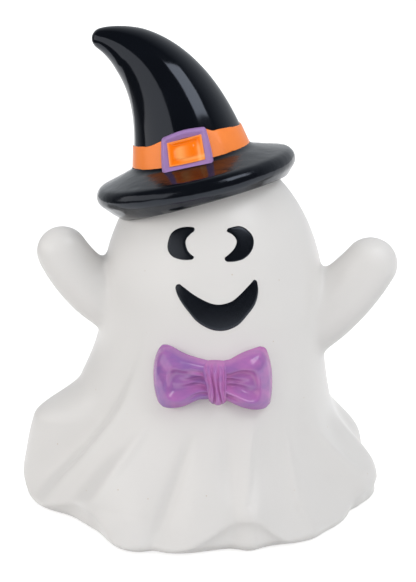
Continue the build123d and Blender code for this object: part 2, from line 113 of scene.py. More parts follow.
def linear(hex_colour):
    """Linear colour of an sRGB hex value."""
    parts = [int(hex_colour[start:start + 2], 16) / 255.0 for start in (1, 3, 5)]
    return [part / 12.92 if part <= 0.04045 else ((part + 0.055) / 1.055) ** 2.4 for part in parts]


def length(name, description, millimetres):
    """A size in the sidebar."""
    return FloatProperty(
        name=name, description=description, default=millimetres * MM, unit="LENGTH", precision=4
    )


def angle(name, description, degrees):
    """An angle in the sidebar."""
    return FloatProperty(name=name, description=description, default=math.radians(degrees), unit="ROTATION")


def share(name, description, default):
    """A plain ratio in the sidebar."""
    return FloatProperty(name=name, description=description, default=default, subtype="FACTOR")


def colour(name, description, hex_colour):
    """A colour in the sidebar."""
    return FloatVectorProperty(
        name=name, description=description, default=linear(hex_colour), subtype="COLOR", min=0.0, max=1.0
    )


class GhostBodySizes(bpy.types.PropertyGroup):
    """Sizes of the body and the arms."""

    waist_radius: length("Waist radius", "Half width of the body at the waist", 49.8)
    waist_height: length("Waist height", "Height of the waist over the foot", 90.0)
    dome_height: length("Dome height", "Height of the head's dome over the waist", 70.0)
    hem_radius: length("Hem radius", "Half width of the skirt at the hem", 71.5)
    hem_height: length("Hem height", "Height of the rounded edge of the hem", 3.5)
    hem_undercut: length("Hem undercut", "How far the hem turns in at the foot", 2.0)
    depth_ratio: share("Depth", "Depth of the head over its width", 0.90)
    head_shift: length("Head shift", "How far the head leans to the right", 3.4)
    lean_height: length("Lean height", "Height where the lean ends", 108.0)
    pad_thickness: length("Pad thickness", "Height of the foot over the table", 1.0)
    arm_forward: length("Arm forward", "How far forward the arms stand", 7.0)
    arm_depth: share("Arm depth", "Depth of an arm over its height", 0.85)
    fillet: length("Fillet", "Width of the soft joint at the root of an arm", 5.0)
    neck_rise: length("Neck rise", "How far the head goes on up inside the brim", 4.0)
    vent_radius: length("Vent radius", "Radius of the air hole in the foot", 6.0)
    vent_back: length("Vent place", "How far back the air hole is", 28.0)


class GhostHatSizes(bpy.types.PropertyGroup):
    """Sizes of the hat."""

    seat_radius: length("Seat radius", "Half width of the head at the hat's seat", 35.9)
    seat_roll: angle("Seat roll", "Lean of the seat to the left", 15.7)
    seat_pitch: angle("Seat pitch", "Lean of the seat to the back", 10.0)
    offset: length("Offset", "How far the hat stands to the left of the head's middle", 5.2)
    lift: length("Lift", "Height of the hat's frame over its seat", 2.9)
    roll: angle("Roll", "Lean of the hat to the left", 12.5)
    pitch: angle("Pitch", "Lean of the hat to the back", 5.5)
    brim_radius: length("Brim radius", "Radius of the brim", 44.5)
    brim_foot: length("Brim foot", "Radius of the brim's foot on the head", 34.5)
    brim_top: length("Brim top", "Height of the brim at the crown", 15.5)
    crown_radius: length("Crown radius", "Radius of the crown at its foot", 26.0)
    tip_radius: length("Tip radius", "Radius of the crown at its tip", 4.5)
    crown_length: length("Crown length", "Length of the crown along its middle line", 68.0)
    crown_turn: angle("Crown turn", "Bend of the crown at its tip", 64.4)
    crown_bend: share("Crown bend", "How late the crown bends", 1.65)
    crown_taper: share("Crown taper", "How full the crown is", 0.72)
    band_thickness: length("Band thickness", "Thickness of the band", 0.5)
    buckle_thickness: length("Buckle thickness", "Thickness of the buckle's frame", 2.6)
    plate_thickness: length("Plate thickness", "Thickness of the buckle's plate at its middle", 1.7)


class GhostFaceSizes(bpy.types.PropertyGroup):
    """Sizes of the face and the bow."""

    glaze_proud: length("Glaze height", "How far the black glaze stands out of the skin", 0.45)
    glaze_round: length("Glaze rounding", "Width of the rounded edge of the black glaze", 1.2)
    bow_height: length("Bow height", "Height of the bow's middle over the foot", 71.8)
    bow_middle: length("Bow middle", "Middle of the bow", 4.2)
    knot_width: length("Knot width", "Width of the knot", 10.0)
    knot_height: length("Knot height", "Height of the knot", 19.0)
    knot_proud: length("Knot depth", "How far the knot stands out of the body", 9.0)


class GhostColours(bpy.types.PropertyGroup):
    """Colours of the glazes and the felt."""

    white: colour("White glaze", "Body and arms", "#DDDAD7")
    speck: colour("Speck", "Iron specks in the white glaze", "#B59A72")
    biscuit: colour("Biscuit", "Bare clay of the foot", "#D9D0C2")
    black: colour("Black glaze", "Hat, eyes and mouth", "#07090E")
    black_sheen: colour("Black sheen", "Tint of the light that the black glaze throws back", "#E6EFFF")
    orange: colour("Orange enamel", "Hat band", "#FA8638")
    amber: colour("Amber glaze", "Plate of the buckle", "#FF7A08")
    # Pale orange of the plate: thin glaze at its edge, and painted highlights on its raised middle, along its
    # lower side and up its right side
    peach_glaze_and_highlight: colour("Peach glaze and highlight", "Thin glaze on the plate of the buckle", "#FFB268")
    lilac: colour("Lilac enamel", "Frame of the buckle", "#9B78AE")
    purple: colour("Purple glaze", "Bow", "#8E66A4")
    pink: colour("Pink stroke", "Brush strokes on the bow", "#B872B0")
    felt: colour("Felt", "Pads under the foot", "#C9C6C0")
    floor: colour("Paper", "Floor of the stage", "#C0C0C0")


def smooth(value):
    """A step from 0 to 1 with level ends."""
    value = np.clip(value, 0.0, 1.0)
    return value * value * (3.0 - 2.0 * value)


def crest(azimuth, middle, before, after=None):
    """A bell over the azimuth, 1 at its middle, with its spread on each side."""
    away = (azimuth - middle + 180.0) % 360.0 - 180.0
    return np.exp(-((away / np.where(away < 0.0, before, after or before)) ** 2))


def body_radius(body, height):
    """Half width of the body without its folds, at heights over the foot."""
    rise = np.clip((height - body.waist_height) / body.dome_height, 0.0, 1.0)
    dome = body.waist_radius * np.sqrt(1.0 - rise * rise)
    drop = np.clip((body.waist_height - height) / (body.waist_height - body.hem_height), 0.0, 1.0)
    flare = (body.hem_radius - body.waist_radius) * drop * drop
    under = np.clip(1.0 - height / body.hem_height, 0.0, 1.0)
    return dome + flare - body.hem_undercut * (1.0 - np.sqrt(1.0 - under * under))


def body_depth(body, height):
    """Half depth over half width."""
    rise = (height - body.hem_height) / (body.waist_height - body.hem_height)
    return 1.0 - (1.0 - body.depth_ratio) * smooth(rise)


def axis_shift(body, height):
    """How far the middle of the body leans to the right."""
    return body.head_shift * smooth((height - body.hem_height) / (body.lean_height - body.hem_height))


def fold_reach(azimuth, height):
    """How far the folds push the skirt out."""
    up = height / MM
    reach = np.zeros_like(up)
    for hem_turn, fade_turn, spread, at_hem, at_shoulder, shoulder, fade in FOLDS:
        middle = hem_turn + (fade_turn - hem_turn) * np.clip(up / fade, 0.0, 1.0)
        size = at_hem + (at_shoulder - at_hem) * smooth(up / shoulder)
        reach += size * smooth((fade - up) / (fade - shoulder)) * crest(azimuth, middle, spread)
    degree = math.radians(CREASE_RADIUS)
    for places, before, after in CREASES:
        turns, heights, sizes = np.array(places, dtype=float).T
        middle = np.interp(up, heights, turns)
        reach += np.interp(up, heights, sizes) * crest(azimuth, middle, before / degree, after / degree)
    for turn, before, after, lip, depth in CURLS:
        bell = crest(azimuth, turn, before, after)
        under = lip * bell - up
        under = 0.5 * (under + np.sqrt(under * under + bell * bell))
        reach -= depth * (1.0 - np.exp(-1.2 * under / depth))
    return reach * MM


def body_points(body, azimuth, height):
    """Points of the body's skin, in the frame of the table."""
    reach = fold_reach(azimuth, height)
    turn = np.radians(azimuth)
    radius = body_radius(body, height)
    across = axis_shift(body, height) + (radius + reach) * np.cos(turn)
    back = (radius * body_depth(body, height) + reach) * np.sin(turn)
    return np.stack([across, back, height + body.pad_thickness], axis=-1)


def nearest_skin(body, places):
    """Points of the body's skin at the same heights and directions as other points."""
    height = places[:, 2] - body.pad_thickness
    radius, depth = body_radius(body, height), body_depth(body, height)
    across = places[:, 0] - axis_shift(body, height)
    turn = np.degrees(np.arctan2(places[:, 1] / depth, across))
    for _ in range(4):
        reach = fold_reach(turn, height)
        turn = np.degrees(np.arctan2(places[:, 1] / (radius * depth + reach), across / (radius + reach)))
    return body_points(body, turn, height)


def front_of_body(body, across, height):
    """How far forward the skin lies above the skirt, at places across and heights over the foot."""
    radius = body_radius(body, height)
    part = np.clip((across - axis_shift(body, height)) / radius, -0.999, 0.999)
    return -radius * body_depth(body, height) * np.sqrt(1.0 - part * part)


def leaning(origin, roll, pitch):
    """A frame that leans to the left by a roll and to the back by a pitch."""
    up = Vector((-math.sin(roll) * math.cos(pitch), math.sin(pitch), math.cos(roll) * math.cos(pitch)))
    across = Vector((math.cos(roll), 0.0, math.sin(roll)))
    turned = Matrix((across, up.cross(across), up)).transposed().to_4x4()
    return Matrix.Translation(origin) @ turned


def seat_frame(body, hat):
    """The flat top of the head, where the hat sits."""
    part = hat.seat_radius / body.waist_radius
    height = body.waist_height + body.dome_height * math.sqrt(1.0 - part * part) + body.pad_thickness
    return leaning(Vector((body.head_shift - hat.offset, 0.0, height)), hat.seat_roll, hat.seat_pitch)


def hat_frame(body, hat):
    """The hat's own frame, just above its seat."""
    seat = seat_frame(body, hat)
    return leaning(seat @ Vector((0.0, 0.0, hat.lift)), hat.roll, hat.pitch)


def deselect():
    """Leaves edit mode with nothing selected."""
    if bpy.context.object and bpy.context.object.mode != "OBJECT":
        bpy.ops.object.mode_set(mode="OBJECT")
    bpy.ops.object.select_all(action="DESELECT")


def active(name):
    """The active object, under a name that its data shares."""
    piece = bpy.context.object
    piece.name = name
    piece.data.name = name
    return piece


def pick(piece):
    """Makes one piece the only selected one."""
    deselect()
    piece.select_set(True)
    bpy.context.view_layer.objects.active = piece


def points_of(piece):
    """The places of a piece's vertices."""
    flat = np.empty(len(piece.data.vertices) * 3, dtype=np.float32)
    piece.data.vertices.foreach_get("co", flat)
    return flat.reshape(-1, 3).astype(np.float64)


def lay_points(piece, places):
    """Moves a piece's vertices."""
    piece.data.vertices.foreach_set("co", np.asarray(places, dtype=np.float32).ravel())
    piece.data.update()


def edit(piece, select="SELECT"):
    """Opens a piece in edit mode with all or none of it selected."""
    pick(piece)
    bpy.ops.object.mode_set(mode="EDIT")
    bpy.ops.mesh.select_mode(type="VERT")
    bpy.ops.mesh.select_all(action=select)


def face_outwards(piece):
    """Merges doubles and turns all faces outwards."""
    edit(piece)
    bpy.ops.mesh.remove_doubles(threshold=1e-6)
    bpy.ops.mesh.normals_make_consistent(inside=False)
    bpy.ops.object.mode_set(mode="OBJECT")


def close_rims(piece, bridge=False):
    """Closes the open rims of a piece, each with a face or the two of them with a bridge."""
    edit(piece, "DESELECT")
    bpy.ops.mesh.select_non_manifold()
    if bridge:
        bpy.ops.mesh.bridge_edge_loops()
    else:
        bpy.ops.mesh.edge_face_add()
    face_outwards(piece)


def apply(piece, kind, **settings):
    """Adds a modifier with its settings and applies it."""
    pick(piece)
    modifier = piece.modifiers.new(kind.title(), kind)
    for key, value in settings.items():
        setattr(modifier, key, value)
    bpy.ops.object.modifier_apply(modifier=modifier.name)


def drawn_tube(name, rings, ends=True):
    """A circle drawn out ring by ring, with each ring then laid on its own points."""
    rings = np.asarray(rings)
    spokes = rings.shape[1]
    deselect()
    bpy.ops.mesh.primitive_circle_add(vertices=spokes, radius=1.0)
    piece = active(name)
    edit(piece)
    for _ in rings[1:]:
        bpy.ops.mesh.extrude_region_move(TRANSFORM_OT_translate={"value": (0.0, 0.0, 1.0)})
    if ends:
        bpy.ops.mesh.edge_face_add()
        bpy.ops.mesh.select_all(action="DESELECT")
        bpy.ops.mesh.select_non_manifold()
        bpy.ops.mesh.edge_face_add()
    bpy.ops.object.mode_set(mode="OBJECT")
    places = points_of(piece)
    spoke = np.round(np.arctan2(places[:, 1], places[:, 0]) / (2.0 * math.pi) * spokes).astype(int) % spokes
    lay_points(piece, rings[np.round(places[:, 2]).astype(int), spoke])
    return piece


def curve_through(points, count, eased=0):
    """Evenly spaced points of a smooth curve through a few measured ones, eased a number of times."""
    points = np.asarray(points, dtype=float)
    ends = np.vstack([2 * points[0] - points[1], points, 2 * points[-1] - points[-2]])
    fine = []
    for before, start, end, after in zip(ends, ends[1:], ends[2:], ends[3:]):
        for part in np.linspace(0.0, 1.0, 24, endpoint=False):
            fine.append(
                0.5
                * (
                    2 * start
                    + (end - before) * part
                    + (2 * before - 5 * start + 4 * end - after) * part**2
                    + (3 * start - before - 3 * end + after) * part**3
                )
            )
    fine = np.array(fine + [points[-1]])
    run = np.concatenate([[0.0], np.cumsum(np.linalg.norm(np.diff(fine, axis=0), axis=1))])
    even = np.linspace(0.0, run[-1], count)
    curve = np.stack([np.interp(even, run, fine[:, axis]) for axis in range(fine.shape[1])], axis=1)
    for _ in range(eased):
        curve[1:-1] += 0.25 * (curve[:-2] + curve[2:]) - 0.5 * curve[1:-1]
    return curve


def finish_piece(piece, node_names, material, smooth_angle=None):
    """Shades a piece, gives it its glaze, hangs it under the root and hides the solids it stands for."""
    pick(piece)
    if smooth_angle is None:
        bpy.ops.object.shade_smooth()
    else:
        bpy.ops.object.shade_smooth_by_angle(angle=math.radians(smooth_angle))
    piece.data.materials.clear()
    piece.data.materials.append(material)
    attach(piece, "root")
    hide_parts(*node_names)


def add_node(tree, kind, links=None, output=None, **settings):
    """Adds a node with its settings, links and plain values, and gives the output asked for or the first."""
    made = tree.nodes.new(kind)
    for key, value in settings.items():
        setattr(made, key, value)
    for key, value in (links or {}).items():
        socket = made.inputs[key]
        if isinstance(value, bpy.types.NodeSocket):
            tree.links.new(value, socket)
        else:
            socket.default_value = value
    if output:
        return made.outputs[output]
    return next((socket for socket in made.outputs if socket.enabled), None)


def new_material(name):
    """A material with no nodes yet, and its node tree."""
    material = bpy.data.materials.new(name)
    material.use_nodes = True
    material.node_tree.nodes.clear()
    return material, material.node_tree


def finish_material(tree, sockets):
    """Ends a material in a Principled shader with these sockets."""
    shader = add_node(tree, "ShaderNodeBsdfPrincipled", sockets)
    add_node(tree, "ShaderNodeOutputMaterial", {"Surface": shader})


def rgba(value, times=1.0):
    """A colour with full alpha, made paler or darker."""
    return (*(min(part * times, 1.0) for part in value), 1.0)


def satin_white_glaze(colours):
    """Satin white glaze on earthenware: even and milky, with a few iron specks, over a foot of bare clay."""
    material, tree = new_material("satin_white_glaze")
    place = add_node(tree, "ShaderNodeTexCoord", output="Object")
    cloud = add_node(tree, "ShaderNodeTexNoise", {"Vector": place, "Scale": 1.0 / (30 * MM), "Detail": 2.0})
    milk = {"Factor": cloud, "A": rgba(colours.white, 0.97), "B": rgba(colours.white)}
    tone = add_node(tree, "ShaderNodeMix", milk, data_type="RGBA")
    cell = add_node(tree, "ShaderNodeTexVoronoi", {"Vector": place, "Scale": 1.0 / (11 * MM)})
    size = {"Value": cell, "From Min": 0.012, "From Max": 0.034, "To Min": 0.6, "To Max": 0.0}
    dot = add_node(tree, "ShaderNodeMapRange", size)
    speck = {"Factor": dot, "A": tone, "B": rgba(colours.speck)}
    speckled = add_node(tree, "ShaderNodeMix", speck, data_type="RGBA")
    dimple = add_node(tree, "ShaderNodeTexNoise", {"Vector": place, "Scale": 1.0 / (5 * MM), "Detail": 3.0})
    satin = add_node(tree, "ShaderNodeMapRange", {"Value": dimple, "To Min": 0.26, "To Max": 0.36})
    height = add_node(tree, "ShaderNodeSeparateXYZ", {"Vector": place}, output="Z")
    wipe = {"Value": height, "From Min": 1.1 * MM, "From Max": 1.6 * MM, "To Min": 1.0, "To Max": 0.0}
    bare = add_node(tree, "ShaderNodeMapRange", wipe)
    clay = {"Factor": bare, "A": speckled, "B": rgba(colours.biscuit)}
    dull = {"Factor": bare, "A": satin, "B": 0.85}
    finish_material(
        tree,
        {
            "Base Color": add_node(tree, "ShaderNodeMix", clay, data_type="RGBA"),
            "Roughness": add_node(tree, "ShaderNodeMix", dull, data_type="FLOAT"),
            "Normal": add_node(
                tree, "ShaderNodeBump", {"Height": dimple, "Strength": 0.10, "Distance": 0.25 * MM}
            ),
            "IOR": 1.5,
        },
    )
    return material


def textured_finish(name, thick, thin, size, detail, relief, gloss, more=None):
    """A material with one fine pattern, which shifts its colour, its height and, given a pair, its gloss."""
    material, tree = new_material(name)
    place = add_node(tree, "ShaderNodeTexCoord", output="Object")
    grain = add_node(tree, "ShaderNodeTexNoise", {"Vector": place, "Scale": 1.0 / size, "Detail": detail})
    shade = {"Factor": grain, "A": thick, "B": thin}
    strength, height = relief
    if isinstance(gloss, tuple):
        low, high = gloss
        gloss = add_node(tree, "ShaderNodeMapRange", {"Value": grain, "To Min": low, "To Max": high})
    sockets = {
        "Base Color": add_node(tree, "ShaderNodeMix", shade, data_type="RGBA"),
        "Roughness": gloss,
        "Normal": add_node(
            tree, "ShaderNodeBump", {"Height": grain, "Strength": strength, "Distance": height}
        ),
    }
    finish_material(tree, {**sockets, **(more or {})})
    return material


def gloss_black_glaze(colours, name, gloss, wave_size, unevenness):
    """Brushed-on gloss black glaze: near a mirror, and softer where the brush left it thinner."""
    black, thin = rgba(colours.black), rgba(colours.black, 1.6)
    sheen = {"IOR": 1.5, "Specular Tint": rgba(colours.black_sheen)}
    return textured_finish(name, black, thin, wave_size, 2.0, (unevenness, 0.6 * MM), gloss, sheen)


def painted_black(colours):
    """Black enamel painted on the face: softer than the hat's glaze, with the streaks of a small brush."""
    black, thin = rgba(colours.black), rgba(colours.black, 1.8)
    relief, gloss = (0.05, 0.2 * MM), (0.2, 0.3)
    sheen = {"Specular Tint": rgba(colours.black_sheen)}
    return textured_finish("painted_black_enamel", black, thin, 3 * MM, 3.0, relief, gloss, sheen)


def satin_enamel(name, base, paler):
    """Satin enamel laid on with a brush: a soft sheen, thinner and paler in the streaks of the brush."""
    sheen = {"Specular IOR Level": 0.4}
    return textured_finish(name, rgba(base), rgba(base, paler), 4 * MM, 3.0, (0.1, 0.2 * MM), 0.3, sheen)


def wool_felt(colours):
    """Wool felt: matt and fibrous, drawn with coarser fibres than real ones so that they show."""
    shadow, wool = rgba(colours.felt, 0.75), rgba(colours.felt)
    return textured_finish("wool_felt", shadow, wool, 0.6 * MM, 5.0, (0.6, 0.2 * MM), 0.95)


def amber_glaze(colours):
    """Thick amber glaze: deep orange where it pools, paler and yellower where it runs thin at the edge; the
    same pale orange also paints highlights on the plate.
    """
    material, tree = new_material("amber_glaze")
    # The attribute holds thin glaze at the edge and painted highlights, both drawn in pale orange
    thin = add_node(tree, "ShaderNodeAttribute", output="Fac", attribute_name="paler_glaze")
    shade = {"Factor": thin, "A": rgba(colours.amber), "B": rgba(colours.peach_glaze_and_highlight)}
    finish_material(
        tree,
        {
            "Base Color": add_node(tree, "ShaderNodeMix", shade, data_type="RGBA"),
            "Roughness": 0.12,
            "IOR": 1.5,
        },
    )
    return material


def purple_glaze(colours):
    """Gloss purple glaze over pink, which shows in the gathers, along the edges and in the brush strokes."""
    material, tree = new_material("gloss_purple_glaze")
    place = add_node(tree, "ShaderNodeTexCoord", output="Object")
    drawn = add_node(tree, "ShaderNodeMapping", {"Vector": place, "Scale": (0.45, 1.0, 1.0)})
    brush = {"Vector": drawn, "Scale": 1.0 / (5 * MM), "Detail": 3.0, "Distortion": 0.5}
    stroke = add_node(tree, "ShaderNodeTexNoise", brush)
    worn = {"Value": stroke, "From Min": 0.42, "From Max": 0.72, "To Max": 0.6}
    thin = add_node(tree, "ShaderNodeMapRange", worn)
    gather = add_node(tree, "ShaderNodeAttribute", output="Fac", attribute_name="paler_glaze")
    show = add_node(tree, "ShaderNodeMath", {0: thin, 1: gather}, operation="ADD", use_clamp=True)
    shade = {"Factor": show, "A": rgba(colours.purple), "B": rgba(colours.pink)}
    uneven = {"Height": stroke, "Strength": 0.1, "Distance": 0.4 * MM}
    finish_material(
        tree,
        {
            "Base Color": add_node(tree, "ShaderNodeMix", shade, data_type="RGBA"),
            "Normal": add_node(tree, "ShaderNodeBump", uneven),
            "Roughness": 0.07,
            "IOR": 1.55,
        },
    )
    return material


# Arms: side, the root's distance from the middle and rise over the waist, length, radius at the root and at
# the hand in mm, heading over level at the root and at the hand in degrees
ARMS = (
    (-1, 33.0, -0.3, 40.2, 15.0, 11.4, 26.0, 63.0),
    (1, 38.0, -9.4, 46.0, 17.6, 12.1, 29.0, 56.0),
)


def arm_rings(body, side, out, rise, reach, radius, hand, low, high, spokes=64, steps=24):
    """Rings of an arm, from inside the body round its hand, a little flat in front of its upper edge."""
    waist = (body.waist_height + body.pad_thickness) / MM
    place = np.array([side * out, -body.arm_forward / MM, waist + rise])
    # The middle line turns a little later than the rings on it
    lag = (high - low) / 12.0
    turn = np.linspace(0.0, 2.0 * math.pi, spokes, endpoint=False)
    stations = []
    for count in range(steps + 1):
        part = count / steps
        heading = math.radians(low + (high - low) * part)
        along = np.array([side * math.cos(heading), 0.0, math.sin(heading)])
        shave = 0.13 * smooth((1.0 - part) / 0.35)
        stations.append((place.copy(), along, radius + (hand - radius) * part, shave))
        step = math.radians(low + (high - low) * (part + 0.5 / steps) - lag)
        place += np.array([side * math.cos(step), 0.0, math.sin(step)]) * reach / steps
    middle, along, hand_radius, _ = stations[-1]
    for tip in np.radians(np.linspace(10.0, 85.0, 10)):
        end = middle + along * hand_radius * math.sin(tip)
        stations.append((end, along, hand_radius * math.cos(tip), 0.0))
    flat = crest(np.degrees(turn), 180.0 - side * 52.0, 27.0)
    depth = np.array([0.0, 1.0, 0.0])
    rings = []
    for middle, along, size, shave in stations:
        up = np.cross(along, depth)
        reach_out = (size * (1.0 - shave * flat))[:, None]
        spoke = np.cos(turn)[:, None] * depth * body.arm_depth + np.sin(turn)[:, None] * up
        rings.append((middle + reach_out * spoke) * MM)
    return rings


class GHOST_OT_body(bpy.types.Operator):
    """Casts the body and the arms as one skin."""

    bl_idname = "ghost.body"
    bl_label = "Body and arms"

    def execute(self, context):
        body, hat = context.scene.ghost_body, context.scene.ghost_hat
        hem = body.hem_height * (1.0 - np.cos(np.radians(np.linspace(0.0, 90.0, 8, endpoint=False))))
        skirt = np.linspace(body.hem_height, body.waist_height, 70, endpoint=False)
        dome = body.waist_height + body.dome_height * np.sin(np.radians(np.linspace(0.0, 75.0, 36)))
        heights = np.concatenate([hem, skirt, dome])
        columns = 288
        azimuths = np.arange(columns) * 360.0 / columns
        rings = [body_points(body, azimuths, np.full(columns, height)) for height in heights]
        piece = drawn_tube("body_skin", rings)
        seat = seat_frame(body, hat)
        edit(piece)
        neck = seat @ Vector((0.0, 0.0, body.neck_rise))
        bpy.ops.mesh.bisect(plane_co=neck, plane_no=seat.col[2].xyz, use_fill=True, clear_outer=True)
        face_outwards(piece)
        arms = [np.array(arm_rings(body, *arm)) for arm in ARMS]
        castings = []
        for arm in arms:
            made = drawn_tube("arm", arm)
            face_outwards(made)
            castings.append(made)
        bpy.ops.mesh.primitive_cylinder_add(
            vertices=48, radius=body.vent_radius, depth=20 * MM, location=(0.0, body.vent_back, 0.0)
        )
        vent = active("vent")
        apply(piece, "BOOLEAN", object=vent, operation="DIFFERENCE", solver="EXACT")
        pick(vent)
        bpy.ops.object.delete()
        deselect()
        for made in castings:
            made.select_set(True)
        piece.select_set(True)
        context.view_layer.objects.active = piece
        bpy.ops.object.join()
        apply(piece, "REMESH", mode="VOXEL", voxel_size=1.05 * MM, adaptivity=0.0)
        roots = piece.vertex_groups.new(name="arm_roots")
        places = points_of(piece)
        weight = np.zeros(len(places))
        spread = 2.4 * body.fillet
        from_body = np.linalg.norm(places - nearest_skin(body, places), axis=1)
        for arm in arms:
            middles = arm.mean(axis=1)
            radii = np.linalg.norm(arm - middles[:, None], axis=2).mean(axis=1)
            away = np.linalg.norm(places[:, None, :] - middles[None], axis=2) - radii[None]
            from_arm = np.abs(away.min(axis=1))
            near = smooth(1.0 - from_arm / spread) * smooth(1.0 - from_body / spread)
            weight = np.maximum(weight, near)
        for index in np.nonzero(weight > 0.02)[0]:
            roots.add([int(index)], float(weight[index]), "REPLACE")
        apply(piece, "SMOOTH", factor=0.5, iterations=60, vertex_group="arm_roots")
        apply(piece, "SMOOTH", factor=0.5, iterations=6)
        places = points_of(piece)
        skin = nearest_skin(body, places)
        inside = seat.inverted()
        over_seat = places @ np.array(inside.to_3x3())[2] + inside.translation.z
        hold = smooth(1.0 - np.linalg.norm(places - skin, axis=1) / (2.0 * MM)) * (1.0 - weight)
        over_foot = smooth((places[:, 2] - body.pad_thickness) / MM - 1.0)
        hold *= over_foot * smooth((body.neck_rise - over_seat) / MM - 1.0)
        lay_points(piece, places + hold[:, None] * (skin - places))
        glaze = satin_white_glaze(context.scene.ghost_colours)
        finish_piece(piece, ("body_shell", "left_arm", "right_arm"), glaze)
        return {"FINISHED"}


def spun(name, profile, steps=160):
    """A profile of radii and heights, drawn point by point and spun round the hat's axis."""
    deselect()
    bpy.ops.mesh.primitive_plane_add(size=0.001)
    piece = active(name)
    edit(piece)
    bpy.ops.mesh.merge(type="CENTER")
    bpy.ops.transform.translate(value=(profile[0][0], 0.0, profile[0][1]))
    for before, after in zip(profile, profile[1:]):
        move = (after[0] - before[0], 0.0, after[1] - before[1])
        bpy.ops.mesh.extrude_region_move(TRANSFORM_OT_translate={"value": move})
    bpy.ops.mesh.select_all(action="SELECT")
    bpy.ops.mesh.spin(steps=steps, angle=2.0 * math.pi, center=(0.0, 0.0, 0.0), axis=(0.0, 0.0, 1.0))
    face_outwards(piece)
    return piece


def settle(piece, place):
    """Puts a piece in a frame, with its place in its mesh."""
    piece.data.transform(place)
    piece.data.update()


class GHOST_OT_brim(bpy.types.Operator):
    """Spins the brim of the hat."""

    bl_idname = "ghost.brim"
    bl_label = "Hat brim"

    def execute(self, context):
        body, hat = context.scene.ghost_body, context.scene.ghost_hat
        lip, lip_height = 4.8, 6.6
        collar_inside, collar_outside, collar_foot, collar_top = 17.0, 21.0, 15.5, 18.3
        spigot_end, shoulder = -8.0, -5.0
        lip_middle = hat.brim_radius / MM - lip
        foot, crown, top = hat.brim_foot / MM, hat.crown_radius / MM, hat.brim_top / MM
        turns = np.radians(np.linspace(-50.0, 62.0, 14))
        edge = [(lip_middle + lip * math.cos(turn), lip_height + lip * math.sin(turn)) for turn in turns]
        start, end = edge[0], edge[-1]
        profile = [(collar_inside, collar_top), (collar_inside, spigot_end)]
        profile.extend([(foot, spigot_end), (foot, shoulder)])
        for part in (0.3, 0.6, 0.85):
            sag = 0.5 * math.sin(math.pi * part)
            profile.append((foot + (start[0] - foot) * part, shoulder + (start[1] - shoulder) * part - sag))
        profile.extend(edge)
        root = (crown + 2.6, top - 0.5)
        for part in np.linspace(0.12, 1.0, 10):
            sag = 0.1 * math.sin(math.pi * part)
            profile.append((end[0] + (root[0] - end[0]) * part, end[1] + (root[1] - end[1]) * part - sag))
        profile.extend([(crown + 1.5, top + 0.05), (crown + 0.8, top + 0.6), (crown + 0.3, top + 1.2)])
        profile.extend([(collar_outside, collar_foot), (collar_outside, collar_top)])
        profile.append((collar_inside, collar_top))
        piece = spun("hat_brim_glazed", [(out * MM, up * MM) for out, up in profile])
        settle(piece, hat_frame(body, hat))
        seat = seat_frame(body, hat)
        edit(piece)
        bpy.ops.mesh.bisect(
            plane_co=seat.translation, plane_no=seat.col[2].xyz, use_fill=True, clear_inner=True
        )
        face_outwards(piece)
        colours = context.scene.ghost_colours
        glaze = gloss_black_glaze(colours, "gloss_black_glaze_thin", (0.13, 0.2), 8 * MM, 0.45)
        finish_piece(piece, ("hat_brim",), glaze, smooth_angle=50)
        return {"FINISHED"}


def crown_profile(hat):
    """Distances along the crown and radii there, from its foot round its tip."""
    taper = hat.crown_radius - hat.tip_radius
    points = [
        (hat.crown_length * part, hat.tip_radius + taper * (1.0 - part) ** hat.crown_taper)
        for part in np.linspace(0.0, 0.82, 40)
    ]
    ball, middle = 1.06 * hat.tip_radius, hat.crown_length + 0.2 * MM
    turns = np.radians(np.linspace(24.0, 87.0, 9))
    neck = np.array(points[-1])
    joint = np.array((middle + ball * math.sin(turns[0]), ball * math.cos(turns[0])))
    for part in np.linspace(0.0, 1.0, 12, endpoint=False)[1:]:
        points.append(tuple(neck * (1.0 - part) + joint * part))
    for turn in turns:
        points.append((middle + ball * math.sin(turn), ball * math.cos(turn)))
    return curve_through(points, 240, eased=12)


def crown_line(hat, along):
    """Points of the crown's middle line and its lean there, in the hat's frame."""
    steps = np.linspace(0.0, 1.2 * hat.crown_length, 1200)
    lean = hat.crown_turn * np.minimum(steps / hat.crown_length, 1.0) ** hat.crown_bend
    step = steps[1]
    between = (lean[1:] + lean[:-1]) / 2.0
    across = np.concatenate([[0.0], -np.cumsum(np.sin(between)) * step])
    up = hat.brim_top + np.concatenate([[0.0], np.cumsum(np.cos(between)) * step])
    across, up, lean = (np.interp(along, steps, values) for values in (across, up, lean))
    return across, up + np.minimum(along, 0.0), lean


def crown_surface(hat, along, radius, turn):
    """Points round the crown at distances along it."""
    across, up, lean = crown_line(hat, along)
    sideways = radius * np.cos(turn)
    return np.stack(
        [across + sideways * np.cos(lean), radius * np.sin(turn), up + sideways * np.sin(lean)], axis=-1
    )


def crown_radius(hat, along):
    """Radius of the crown at distances along it."""
    profile = crown_profile(hat)
    return np.interp(along, profile[:, 0], profile[:, 1])


def crown_front(hat, across, up, offset):
    """How far forward the crown's skin lies in the hat's frame, grown by an offset."""
    along = up - hat.brim_top
    for _ in range(8):
        middle, height, lean = crown_line(hat, along)
        along = along - (across - middle) * np.sin(lean) + (up - height) * np.cos(lean)
    middle, height, lean = crown_line(hat, along)
    sideways = (across - middle) * np.cos(lean) + (up - height) * np.sin(lean)
    radius = crown_radius(hat, along) + offset
    return -np.sqrt(np.maximum(radius * radius - sideways * sideways, 0.0))


